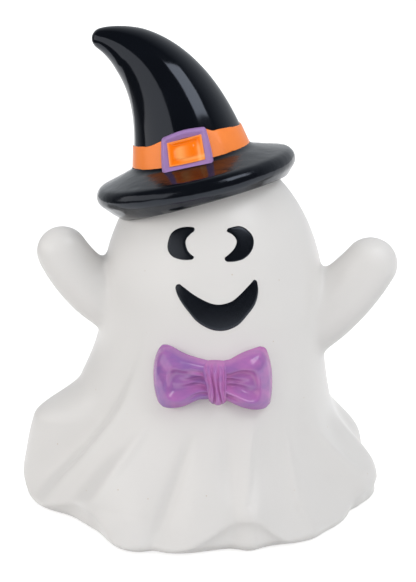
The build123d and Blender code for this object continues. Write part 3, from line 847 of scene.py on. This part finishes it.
class GHOST_OT_crown(bpy.types.Operator):
    """Draws the bent crown of the hat out of a circle."""

    bl_idname = "ghost.crown"
    bl_label = "Hat crown"

    def execute(self, context):
        body, hat = context.scene.ghost_body, context.scene.ghost_hat
        turn = np.linspace(0.0, 2.0 * math.pi, 128, endpoint=False)
        rings = [crown_surface(hat, along, radius, turn) for along, radius in crown_profile(hat)[::2]]
        piece = drawn_tube("hat_crown_glazed", rings)
        face_outwards(piece)
        settle(piece, hat_frame(body, hat))
        colours = context.scene.ghost_colours
        glaze = gloss_black_glaze(colours, "gloss_black_glaze", (0.07, 0.13), 14 * MM, 0.16)
        finish_piece(piece, ("hat_crown",), glaze, smooth_angle=60)
        return {"FINISHED"}


# Edges of the band along the crown in mm, by degrees round it (0 right, 90 back, 180 left, 270 front)
BAND_TOP = (
    (0, 8.8), (60, 10.0), (120, 11.0), (180, 12.0), (205, 12.2), (230, 11.6), (244, 12.9), (255, 13.2),
    (285, 13.2), (296, 12.9), (302, 11.0), (314, 10.8), (326, 10.0), (340, 9.2), (360, 8.8),
)
BAND_FOOT = (
    (0, 0.8), (60, 0.9), (120, 1.0), (180, 1.3), (205, 1.4), (214, 1.3), (240, 0.3), (270, 0.2), (292, 0.2),
    (305, 0.7), (315, 1.3), (328, 0.3), (346, 0.7), (360, 0.8),
)


def band_edges(turn):
    """Lower and upper edge of the band along the crown, a little uneven as the brush left them."""
    spin = np.degrees(turn) % 360.0
    brush = 0.10 * np.sin(np.radians(spin) * 23.0) + 0.08 * np.sin(np.radians(spin) * 37.0 + 1.0)
    low = np.interp(spin, *zip(*BAND_FOOT)) + brush
    high = np.interp(spin, *zip(*BAND_TOP)) - brush
    ease = np.array([0.25, 0.5, 0.25])
    for _ in range(4):
        low = sum(np.roll(low, step - 1) * ease[step] for step in range(3))
        high = sum(np.roll(high, step - 1) * ease[step] for step in range(3))
    return low * MM, high * MM


class GHOST_OT_band(bpy.types.Operator):
    """Wraps the orange band round the foot of the crown."""

    bl_idname = "ghost.band"
    bl_label = "Hat band"

    def execute(self, context):
        body, hat, colours = context.scene.ghost_body, context.scene.ghost_hat, context.scene.ghost_colours
        turn = np.linspace(0.0, 2.0 * math.pi, 192, endpoint=False)
        rings = []
        section = [(0.0, 0.0)]
        for corner in np.radians(np.linspace(-90.0, 0.0, 6)):
            section.append((0.06 + 0.06 * math.sin(corner), 0.4 + 0.6 * math.cos(corner)))
        section.extend((part, 1.0) for part in (0.2, 0.35, 0.5, 0.65, 0.8))
        for corner in np.radians(np.linspace(0.0, 90.0, 6)):
            section.append((0.94 + 0.06 * math.sin(corner), 0.4 + 0.6 * math.cos(corner)))
        section.append((1.0, 0.0))
        low, high = band_edges(turn)
        for up, out in section:
            along = low + (high - low) * up
            swell = 1.0 + 1.1 * crest(np.degrees(turn), 307.0, 4.0, 6.0) * crest(up, 0.42, 0.30)
            radius = crown_radius(hat, along) + 0.05 * MM + hat.band_thickness * out * swell
            rings.append(crown_surface(hat, along, radius, turn))
        piece = drawn_tube("hat_band_enamelled", rings, ends=False)
        close_rims(piece, bridge=True)
        settle(piece, hat_frame(body, hat))
        material = satin_enamel("satin_orange_enamel", colours.orange, 1.12)
        finish_piece(piece, ("hat_band",), material, smooth_angle=50)
        return {"FINISHED"}


def patch(name, columns, rows):
    """A grid that a surface is laid on, with the share along and across it of each vertex."""
    deselect()
    bpy.ops.mesh.primitive_grid_add(x_subdivisions=columns, y_subdivisions=rows, size=1.0)
    piece = active(name)
    places = points_of(piece)
    return piece, places[:, 0] + 0.5, places[:, 1] + 0.5


def paint(piece, name, values):
    """Keeps a value for each vertex, for the glaze to read."""
    layer = piece.data.attributes.new(name, "FLOAT", "POINT")
    layer.data.foreach_set("value", np.asarray(values, dtype=np.float32))


def close_back(piece, back):
    """Draws the edge of a patch back to a surface and closes it there."""
    edit(piece, "DESELECT")
    bpy.ops.mesh.select_non_manifold()
    bpy.ops.mesh.extrude_region_move(TRANSFORM_OT_translate={"value": (0.0, 0.0005, 0.0)})
    bpy.ops.object.mode_set(mode="OBJECT")
    chosen = np.zeros(len(piece.data.vertices), dtype=bool)
    piece.data.vertices.foreach_get("select", chosen)
    places = points_of(piece)
    places[chosen, 1] = back(places[chosen])
    lay_points(piece, places)
    close_rims(piece)


# Outlines of the face in mm across and over the foot: from horn to horn, and from corner to corner
LEFT_EYE = (
    (
        (-5.2, 132.6), (-6.6, 131.2), (-7.7, 130.0), (-8.2, 128.6), (-8.0, 127.0), (-7.4, 125.4),
        (-6.4, 124.2), (-5.1, 123.1),
    ),
    (
        (-5.1, 134.4), (-7.0, 134.5), (-9.4, 134.2), (-11.9, 133.3), (-14.0, 131.8), (-15.1, 130.1),
        (-15.8, 127.8), (-16.0, 125.5), (-15.3, 123.6), (-13.6, 122.1), (-10.6, 121.4), (-8.2, 121.3),
        (-5.7, 121.7),
    ),
)
RIGHT_EYE = (
    ((9.7, 132.7), (12.2, 131.0), (13.4, 128.8), (12.3, 126.0), (9.0, 123.0)),
    (
        (10.3, 134.2), (14.0, 134.8), (17.0, 133.8), (20.0, 130.9), (20.8, 127.7), (19.7, 124.4),
        (16.5, 121.7), (12.3, 120.8), (9.5, 121.0),
    ),
)
MOUTH = (
    (
        (-10.1, 110.8), (-8.4, 109.8), (-5.1, 107.5), (-0.9, 105.2), (2.7, 103.7), (5.8, 103.2),
        (8.8, 103.6), (11.8, 104.7), (15.4, 107.6), (18.3, 110.4), (20.4, 112.3),
    ),
    (
        (-12.4, 109.0), (-11.7, 106.5), (-9.8, 103.2), (-7.0, 99.7), (-4.0, 96.1), (-0.9, 93.9), (2.7, 92.2),
        (6.4, 91.6), (10.0, 92.0), (14.3, 94.0), (18.0, 97.9), (21.0, 101.7), (22.3, 105.1), (22.7, 108.7),
        (22.2, 111.2),
    ),
)


class GHOST_OT_face(bpy.types.Operator):
    """Lays the eyes and the mouth on the skin as raised black glaze."""

    bl_idname = "ghost.face"
    bl_label = "Eyes and mouth"

    def execute(self, context):
        body, face = context.scene.ghost_body, context.scene.ghost_face
        face_glaze = painted_black(context.scene.ghost_colours)
        sunk_edge, sunk_back = 0.12 * MM, 0.6 * MM
        for node, (inner, outer) in (("left_eye", LEFT_EYE), ("right_eye", RIGHT_EYE), ("mouth", MOUTH)):
            columns = 80
            piece, along, across = patch(node + "_glazed", columns, 28)
            step = np.round(along * columns).astype(int)
            near, far = (curve_through(line, columns + 1, eased=4) for line in (inner, outer))
            middle = (near + far) / 2.0
            run = np.linalg.norm(np.diff(middle, axis=0), axis=1).sum() * MM
            spread = 0.5 - 0.5 * np.cos(math.pi * across)
            flat = near[step] + (far - near)[step] * spread[:, None]
            for end, inward, from_end in ((0, 4, along), (-1, -5, 1.0 - along)):
                out = (middle[end] - middle[inward]) / np.linalg.norm(middle[end] - middle[inward])
                swell = np.linalg.norm(far[end] - near[end]) * np.sqrt(spread * (1.0 - spread))
                flat += (swell * np.clip(1.0 - from_end / 0.08, 0.0, 1.0))[:, None] * out
            flat *= MM
            from_near = np.linalg.norm(flat - near[step] * MM, axis=1)
            from_far = np.linalg.norm(flat - far[step] * MM, axis=1)
            edge = np.minimum(np.minimum(from_near, from_far), np.minimum(along, 1.0 - along) * run)
            rise = np.sqrt(1.0 - (1.0 - np.clip(edge / face.glaze_round, 0.0, 1.0)) ** 2)
            proud = face.glaze_proud * rise - sunk_edge * (1.0 - rise)
            depth = front_of_body(body, flat[:, 0], flat[:, 1]) - proud
            lay_points(piece, np.stack([flat[:, 0], depth, flat[:, 1] + body.pad_thickness], axis=1))
            close_back(piece, lambda edge_places: edge_places[:, 1] + sunk_back)
            finish_piece(piece, (node,), face_glaze, smooth_angle=60)
        return {"FINISHED"}


# Corners of the buckle in the hat's frame in mm, outside and window, from the lower left by the right
BUCKLE_OUTSIDE = ((-12.7, 13.0), (10.3, 12.7), (9.9, 30.3), (-9.6, 29.4))
BUCKLE_WINDOW = ((-7.9, 17.2), (6.5, 17.3), (6.9, 27.0), (-7.0, 26.4))
# How far the lower, right, upper and left side of each bow out, in mm
OUTSIDE_BOWS = (0.5, 0.3, 0.9, 0.2)
WINDOW_BOWS = (0.3, 0.1, 0.5, 0.2)
# Section of the buckle's frame: shares of the way from the window to the outside, and of the thickness
FRAME_SECTION = (
    (0.0, 0.0), (0.0, 0.34), (0.06, 0.46), (0.2, 0.6), (0.38, 0.76), (0.54, 0.92), (0.66, 1.0),
    (0.78, 0.97), (0.9, 0.84), (0.98, 0.62), (1.0, 0.4), (1.0, 0.0),
)


def rounded_corners(corners, bows, radius, per_side=26, per_corner=14):
    """An outline of four bowed sides with rounded corners, with as many points on each side and corner."""
    corners = [np.array(corner, dtype=float) for corner in corners]
    outline = []
    for index, corner in enumerate(corners):
        before, after = corners[index - 1], corners[(index + 1) % 4]
        back = (before - corner) / np.linalg.norm(before - corner)
        on = (after - corner) / np.linalg.norm(after - corner)
        start, end = corner + back * radius, corner + on * radius
        for part in np.linspace(0.0, 1.0, per_corner):
            outline.append((1 - part) ** 2 * start + 2 * part * (1 - part) * corner + part**2 * end)
        stop = after - on * radius
        for part in np.linspace(0.0, 1.0, per_side + 2)[1:-1]:
            bowed = bows[index] * math.sin(math.pi * part) * np.array([on[1], -on[0]])
            outline.append(end + (stop - end) * part + bowed)
    outline = np.array(outline)
    for _ in range(3):
        outline = 0.5 * outline + 0.25 * (np.roll(outline, 1, axis=0) + np.roll(outline, -1, axis=0))
    return outline


class GHOST_OT_buckle(bpy.types.Operator):
    """Models the buckle's frame and its plate on the front of the band."""

    bl_idname = "ghost.buckle"
    bl_label = "Buckle"

    def execute(self, context):
        body, hat, colours = context.scene.ghost_body, context.scene.ghost_hat, context.scene.ghost_colours
        seat = hat.band_thickness - 0.3 * MM
        outside = rounded_corners(BUCKLE_OUTSIDE, OUTSIDE_BOWS, 1.8)
        window = rounded_corners(BUCKLE_WINDOW, WINDOW_BOWS, 1.3)
        rings = []
        for out, rise in FRAME_SECTION:
            flat = (window + (outside - window) * out) * MM
            depth = crown_front(hat, flat[:, 0], flat[:, 1], seat + hat.buckle_thickness * rise)
            rings.append(np.stack([flat[:, 0], depth, flat[:, 1]], axis=1))
        piece = drawn_tube("buckle_frame_enamelled", rings, ends=False)
        close_rims(piece, bridge=True)
        apply(piece, "SUBSURF", levels=1, render_levels=1)
        settle(piece, hat_frame(body, hat))
        material = satin_enamel("satin_lilac_enamel", colours.lilac, 1.15)
        finish_piece(piece, ("buckle_frame",), material)

        piece, along, across = patch("buckle_plate_glazed", 48, 40)
        low_left, low_right, high_right, high_left = [np.array(corner) for corner in BUCKLE_WINDOW]
        u, v = along[:, None], across[:, None]
        middle = (low_left + low_right + high_right + high_left) / 4.0
        flat = (low_left * (1 - u) + low_right * u) * (1 - v) + (high_left * (1 - u) + high_right * u) * v
        flat = (middle + (flat - middle) * 1.09) * MM
        rim = np.minimum(np.minimum(along, 1.0 - along), np.minimum(across, 1.0 - across))
        dish = smooth(rim / 0.26)
        from_middle = (np.abs((along - 0.47) / 0.31) ** 4 + np.abs((across - 0.47) / 0.27) ** 4) ** 0.25
        pillow = smooth((1.15 - from_middle) / 0.4)
        offset = seat + hat.plate_thickness * (1.0 - 0.65 * dish + 0.3 * pillow)
        depth = crown_front(hat, flat[:, 0], flat[:, 1], offset)
        lay_points(piece, np.stack([flat[:, 0], depth, flat[:, 1]], axis=1))
        # Painted highlights in pale orange: on the left of the raised middle, along the lower side of the
        # dish and up its right side; the paler rim added below is thin glaze at the edge.
        painted_highlight = 0.75 * pillow * np.exp(-(((along - 0.33) / 0.17) ** 2))
        painted_highlight += 0.6 * np.exp(-(((across - 0.16) / 0.07) ** 2)) * smooth((along - 0.2) / 0.3)
        painted_highlight += 0.6 * np.exp(-(((along - 0.87) / 0.06) ** 2)) * smooth((0.8 - across) / 0.3)
        paint(piece, "paler_glaze", np.clip(painted_highlight + 0.55 * smooth(1.0 - rim / 0.09), 0.0, 1.0))
        close_back(piece, lambda edge_places: edge_places[:, 1] + 1.0 * MM)
        settle(piece, hat_frame(body, hat))
        finish_piece(piece, ("buckle_inset",), amber_glaze(colours))
        return {"FINISHED"}


# Loops of the bow: top and foot in mm across and over the foot, from the knot out, then the place of the end
# in mm by shares of its half height. Gathers run out from the knot: height at the knot and at the end, reach,
# depth in mm and width, the others as shares. Thin is how much pink shows all over.
LEFT_LOOP = {
    "root": 2.0,
    "top": ((2.0, 78.6), (-0.6, 79.2), (-8.5, 81.4), (-14.0, 84.0), (-18.0, 84.9), (-22.2, 84.6)),
    "foot": ((2.0, 62.6), (-0.6, 62.4), (-3.4, 62.0), (-10.2, 59.0), (-17.5, 57.8), (-22.2, 58.2)),
    "end": (
        (-1.0, -15.8), (-0.95, -18.6), (-0.84, -20.4), (-0.5, -21.8), (-0.1, -22.3), (0.3, -22.0),
        (0.65, -20.8), (0.9, -18.9), (0.97, -17.6), (1.0, -15.6),
    ),
    "gathers": (
        (-0.20, -0.30, 0.80, 2.2, 0.13),
        (0.50, 0.38, 0.78, 1.5, 0.11),
        (0.16, 0.06, 0.66, 1.6, 0.10),
        (-0.58, -0.56, 0.60, 1.2, 0.10),
    ),
    "thin": 0.0,
}
RIGHT_LOOP = {
    "root": 6.8,
    "top": ((6.8, 78.4), (9.2, 78.8), (11.0, 79.2), (16.1, 81.7), (23.0, 83.5), (26.4, 83.5), (28.9, 82.8)),
    "foot": ((6.8, 62.4), (9.2, 61.8), (15.4, 58.9), (20.9, 57.2), (26.1, 56.7), (28.9, 57.4)),
    "end": (
        (-1.0, 24.0), (-0.95, 26.8), (-0.84, 28.3), (-0.45, 29.0), (0.05, 29.0), (0.45, 28.2),
        (0.75, 27.0), (0.92, 25.8), (1.0, 23.6),
    ),
    "gathers": (
        (0.46, 0.30, 0.82, 1.8, 0.11),
        (-0.14, -0.38, 0.84, 2.0, 0.12),
        (0.14, 0.0, 0.68, 1.4, 0.10),
        (-0.62, -0.62, 0.56, 1.1, 0.09),
    ),
    "thin": 0.22,
}
# Pleats of the knot: place across it, lean, depth in mm and width
KNOT_PLEATS = (
    (0.16, 0.05, 1.0, 0.05),
    (0.38, 0.07, 1.7, 0.07),
    (0.63, -0.02, 1.3, 0.05),
    (0.84, -0.08, 1.5, 0.07),
)
# How far a loop stands out of the body by the distance from its edge, in mm
LOOP_FLANK = (
    (0.0, 1.0), (0.6, 4.0), (1.4, 5.7), (2.6, 6.8), (4.0, 7.8), (5.5, 8.5), (8.0, 8.9), (13.0, 9.0),
)


class GHOST_OT_bow(bpy.types.Operator):
    """Shapes the two loops of the bow and its pleated knot."""

    bl_idname = "ghost.bow"
    bl_label = "Bow tie"

    def execute(self, context):
        body, face = context.scene.ghost_body, context.scene.ghost_face
        glaze = purple_glaze(context.scene.ghost_colours)

        def back(places):
            return front_of_body(body, places[:, 0], places[:, 2] - body.pad_thickness) + 0.5 * MM

        for node, loop in (("bow_left_loop", LEFT_LOOP), ("bow_right_loop", RIGHT_LOOP)):
            piece, along, across = patch(node + "_glazed", 96, 80)
            side = 2.0 * across - 1.0
            end = np.interp(side, *curve_through(loop["end"], 80).T)
            length_out = end - loop["root"]
            x = loop["root"] + length_out * along
            limits = []
            for line in (loop["top"], loop["foot"]):
                curve = curve_through(line, 60)
                order = np.argsort(curve[:, 0])
                limits.append(np.interp(x, curve[order, 0], curve[order, 1]))
            z_top, z_foot = limits
            half = (z_top - z_foot) / 2.0
            z = (z_top + z_foot) / 2.0 + side * half
            edges = np.stack([(1.0 - along) * np.abs(length_out), (1.0 - side) * half, (1.0 + side) * half])
            sharp = np.maximum(-1.3 * np.log(np.exp(-edges / 1.3).sum(axis=0)), 0.0)
            soft = -2.5 * np.log(np.exp(-edges / 2.5).sum(axis=0)) + 0.5 * np.sin(2.6 * side + 5.0 * along)
            flank = curve_through(LOOP_FLANK, 120)
            low = 0.72 + 0.28 * smooth(along / 0.6)
            proud = 1.0 + (np.interp(sharp, flank[:, 0], flank[:, 1]) - 1.0) * low
            proud -= 3.0 * smooth((soft - 4.6) / 3.2)
            thin = loop["thin"] + 0.5 * np.exp(-((sharp / 1.2) ** 2))
            thin += 0.35 * np.exp(-((soft - 6.0) ** 2))
            for start, finish, reach, depth, width in loop["gathers"]:
                middle = start + (finish - start) * np.clip(along / reach, 0.0, 1.0)
                middle += 0.04 * np.sin(9.0 * along + 9.0 * start)
                groove = np.exp(-(((side - middle) / (width * (0.8 + along))) ** 2))
                groove *= smooth((reach - along) / (0.7 * reach))
                proud -= depth * groove * smooth(sharp / 2.0)
                thin += 0.5 * groove
            depth = front_of_body(body, x * MM, z * MM) - proud * MM
            lay_points(piece, np.stack([x * MM, depth, z * MM + body.pad_thickness], axis=1))
            apply(piece, "SMOOTH", factor=0.5, iterations=3)
            paint(piece, "paler_glaze", thin)
            close_back(piece, back)
            finish_piece(piece, (node,), glaze, smooth_angle=60)

        piece, along, across = patch("bow_knot_glazed", 64, 72)
        side = 2.0 * across - 1.0
        half = face.knot_width / MM / 2.0 * (0.94 + 0.20 * side + 0.06 * side * side)
        x = face.bow_middle / MM + 0.5 - 0.9 * side + (2.0 * along - 1.0) * half
        arch = 1.0 - (2.0 * along - 1.0) ** 2
        tall = face.knot_height / MM / 2.0 - 1.4 + np.where(side > 0.0, 0.8, 1.4) * arch
        z = face.bow_height / MM - 1.8 + side * tall
        round_up = (1.0 - np.abs(side) ** 4) ** 0.5
        round_side = (1.0 - np.abs(2.0 * along - 1.0) ** 2.4) ** 0.5
        proud = 1.2 + (face.knot_proud / MM - 1.2) * round_up * (0.3 + 0.7 * round_side)
        thin = 0.25 + 0.5 * smooth((np.abs(side) - 0.85) / 0.15)
        for middle, bend, depth, width in KNOT_PLEATS:
            line = middle + bend * side + 0.045 * np.sin(3.2 * side + 7.0 * middle)
            pleat = np.exp(-(((along - line) / width) ** 2))
            proud -= depth * round_up * pleat
            thin += 0.5 * pleat
        depth = front_of_body(body, x * MM, z * MM) - proud * MM
        lay_points(piece, np.stack([x * MM, depth, z * MM + body.pad_thickness], axis=1))
        apply(piece, "SMOOTH", factor=0.5, iterations=2)
        paint(piece, "paler_glaze", thin)
        close_back(piece, back)
        finish_piece(piece, ("bow_knot",), glaze, smooth_angle=60)
        return {"FINISHED"}


class GHOST_OT_pads(bpy.types.Operator):
    """Gives the pads under the foot their felt."""

    bl_idname = "ghost.pads"
    bl_label = "Felt pads"

    def execute(self, context):
        felt = wool_felt(context.scene.ghost_colours)
        for name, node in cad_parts.items():
            if name.startswith("felt_pad"):
                node.data.materials.clear()
                node.data.materials.append(felt)
        return {"FINISHED"}


# Lamps: place, size in metres, power, colour, and whether the glaze mirrors them
LAMPS = {
    "soft_box_left": ((-1.01, -0.43, 0.37), (1.60, 0.75), 4.4, (1.0, 0.97, 0.94), True),
    "soft_box_right": ((0.52, -0.45, 0.91), (0.50, 0.42), 2.3, (0.95, 0.97, 1.0), True),
    "right_key": ((0.66, -0.58, 0.60), (0.5, 0.5), 1.0, (0.98, 0.99, 1.0), False),
    "left_fill": ((-1.20, -1.00, 0.35), (1.2, 1.2), 5.2, (1.0, 0.98, 0.96), False),
    "right_fill": ((1.40, -0.65, 0.45), (1.2, 1.2), 5.0, (1.0, 0.99, 0.99), False),
    "front_fill": ((0.0, -1.70, 0.20), (1.2, 1.2), 3.0, (1.0, 0.99, 0.98), False),
    "top_fill": ((0.1, -0.10, 1.50), (1.2, 1.2), 2.6, (1.0, 0.99, 0.97), False),
    "back_fill": ((0.2, 1.60, 0.80), (1.4, 1.0), 7.0, (1.0, 0.99, 0.98), False),
}
LAMP_TARGET = (0.0, 0.0, 0.11)
# Camera: height over level in degrees, distance and place looked at in metres, lens and sensor in mm, and the
# shift of the picture in pixels of its longer side
CAMERA_RISE, CAMERA_DISTANCE, CAMERA_TARGET = 17.0, 0.9, (0.0, 0.0, 0.105)
CAMERA_LENS, CAMERA_SENSOR = 125.26, 36.0
CAMERA_SHIFT, PICTURE_HEIGHT = (3.0, -18.5), 582.0


def background_rays(tree):
    """Whether a ray comes from the camera, and whether from the camera, a mirror or glass."""
    rays = add_node(tree, "ShaderNodeLightPath").node.outputs
    camera, glossy, clear = (rays["Is %s Ray" % kind] for kind in ("Camera", "Glossy", "Transmission"))
    either = add_node(tree, "ShaderNodeMath", {0: camera, 1: glossy}, operation="MAXIMUM")
    return camera, add_node(tree, "ShaderNodeMath", {0: either, 1: clear}, operation="MAXIMUM")


def aimed(place, target):
    """A turn that looks from a place at a target."""
    return (Vector(target) - Vector(place)).to_track_quat("-Z", "Y").to_euler()


class GHOST_OT_stage(bpy.types.Operator):
    """Sets the paper floor, the soft boxes and the camera."""

    bl_idname = "ghost.stage"
    bl_label = "Stage"

    def execute(self, context):
        scene = context.scene
        scene.view_settings.view_transform = "Standard"
        deselect()
        bpy.ops.mesh.primitive_plane_add(size=1.0)
        floor = active("floor")
        edit(floor)
        bpy.ops.transform.resize(value=(1.6, 2.0, 1.0))
        bpy.ops.transform.translate(value=(0.4, 0.58, 0.0))
        bpy.ops.object.mode_set(mode="OBJECT")
        # White paper: matt, and seen as white by the camera and the glaze
        material, tree = new_material("white_paper")
        _, seen = background_rays(tree)
        glow = add_node(tree, "ShaderNodeMath", {0: seen, 1: 0.8}, operation="MULTIPLY")
        finish_material(
            tree,
            {
                "Base Color": rgba(scene.ghost_colours.floor),
                "Roughness": 0.9,
                "Specular IOR Level": 0.0,
                "Emission Color": (1.0, 1.0, 1.0, 1.0),
                "Emission Strength": glow,
            },
        )
        floor.data.materials.append(material)

        # A light tent: white to the camera, dim in front of the figure and pale behind it to the glaze
        world = bpy.data.worlds.new("light_tent")
        scene.world = world
        world.use_nodes = True
        tree = world.node_tree
        tree.nodes.clear()
        camera_ray, seen = background_rays(tree)
        ray = add_node(tree, "ShaderNodeTexCoord", output="Generated")
        depth = {0: ray, 1: (0.35, 1.0, 0.0)}
        behind = add_node(tree, "ShaderNodeVectorMath", depth, operation="DOT_PRODUCT")
        tent = {"Value": behind, "From Min": 0.0, "From Max": 0.8, "To Min": 0.06, "To Max": 0.65}
        lit = {"Factor": seen, "A": 0.5, "B": add_node(tree, "ShaderNodeMapRange", tent)}
        shown = {"Factor": camera_ray, "A": add_node(tree, "ShaderNodeMix", lit, data_type="FLOAT"), "B": 1.0}
        daylight = {"Factor": camera_ray, "A": (0.92, 0.96, 1.0, 1.0), "B": (1.0, 1.0, 1.0, 1.0)}
        background = {
            "Color": add_node(tree, "ShaderNodeMix", daylight, data_type="RGBA"),
            "Strength": add_node(tree, "ShaderNodeMix", shown, data_type="FLOAT"),
        }
        surface = add_node(tree, "ShaderNodeBackground", background)
        add_node(tree, "ShaderNodeOutputWorld", {"Surface": surface})

        for name, (place, size, power, tint, mirrored) in LAMPS.items():
            bpy.ops.object.light_add(type="AREA", location=place, rotation=aimed(place, LAMP_TARGET))
            lamp = active(name)
            lamp.data.shape = "RECTANGLE"
            lamp.data.size, lamp.data.size_y = size
            lamp.data.energy = power
            lamp.data.color = tint
            lamp.visible_glossy = mirrored

        rise = math.radians(CAMERA_RISE)
        back = Vector((0.0, -math.cos(rise), math.sin(rise)))
        place = Vector(CAMERA_TARGET) + back * CAMERA_DISTANCE
        bpy.ops.object.camera_add(location=place, rotation=aimed(place, CAMERA_TARGET))
        camera = active("camera")
        camera.data.lens = CAMERA_LENS
        camera.data.sensor_width = CAMERA_SENSOR
        camera.data.shift_x, camera.data.shift_y = (shift / PICTURE_HEIGHT for shift in CAMERA_SHIFT)
        scene.camera = camera
        return {"FINISHED"}


OPERATORS = (
    GHOST_OT_body,
    GHOST_OT_brim,
    GHOST_OT_crown,
    GHOST_OT_band,
    GHOST_OT_buckle,
    GHOST_OT_face,
    GHOST_OT_bow,
    GHOST_OT_pads,
    GHOST_OT_stage,
)
GROUPS = {
    "ghost_body": GhostBodySizes,
    "ghost_hat": GhostHatSizes,
    "ghost_face": GhostFaceSizes,
    "ghost_colours": GhostColours,
}


class GHOST_PT_panel(bpy.types.Panel):
    """Lists the steps and sizes of the ghost."""

    bl_idname = "GHOST_PT_panel"
    bl_label = "Ceramic Ghost"
    bl_space_type = "VIEW_3D"
    bl_region_type = "UI"
    bl_category = "Ghost"

    def draw(self, context):
        for operator in OPERATORS:
            self.layout.operator(operator.bl_idname)
        for group in GROUPS:
            holder = getattr(context.scene, group)
            for key in holder.__annotations__:
                self.layout.prop(holder, key)


def register():
    for name, group in GROUPS.items():
        bpy.utils.register_class(group)
        setattr(bpy.types.Scene, name, PointerProperty(type=group))
    for made in (*OPERATORS, GHOST_PT_panel):
        bpy.utils.register_class(made)


def unregister():
    for made in (GHOST_PT_panel, *reversed(OPERATORS)):
        bpy.utils.unregister_class(made)
    for name, group in reversed(GROUPS.items()):
        delattr(bpy.types.Scene, name)
        bpy.utils.unregister_class(group)


def main():
    register()
    bpy.ops.ghost.body()
    bpy.ops.ghost.brim()
    bpy.ops.ghost.crown()
    bpy.ops.ghost.band()
    bpy.ops.ghost.buckle()
    bpy.ops.ghost.face()
    bpy.ops.ghost.bow()
    bpy.ops.ghost.pads()
    bpy.ops.ghost.stage()
    deselect()


if __name__ == "__main__":
    main()
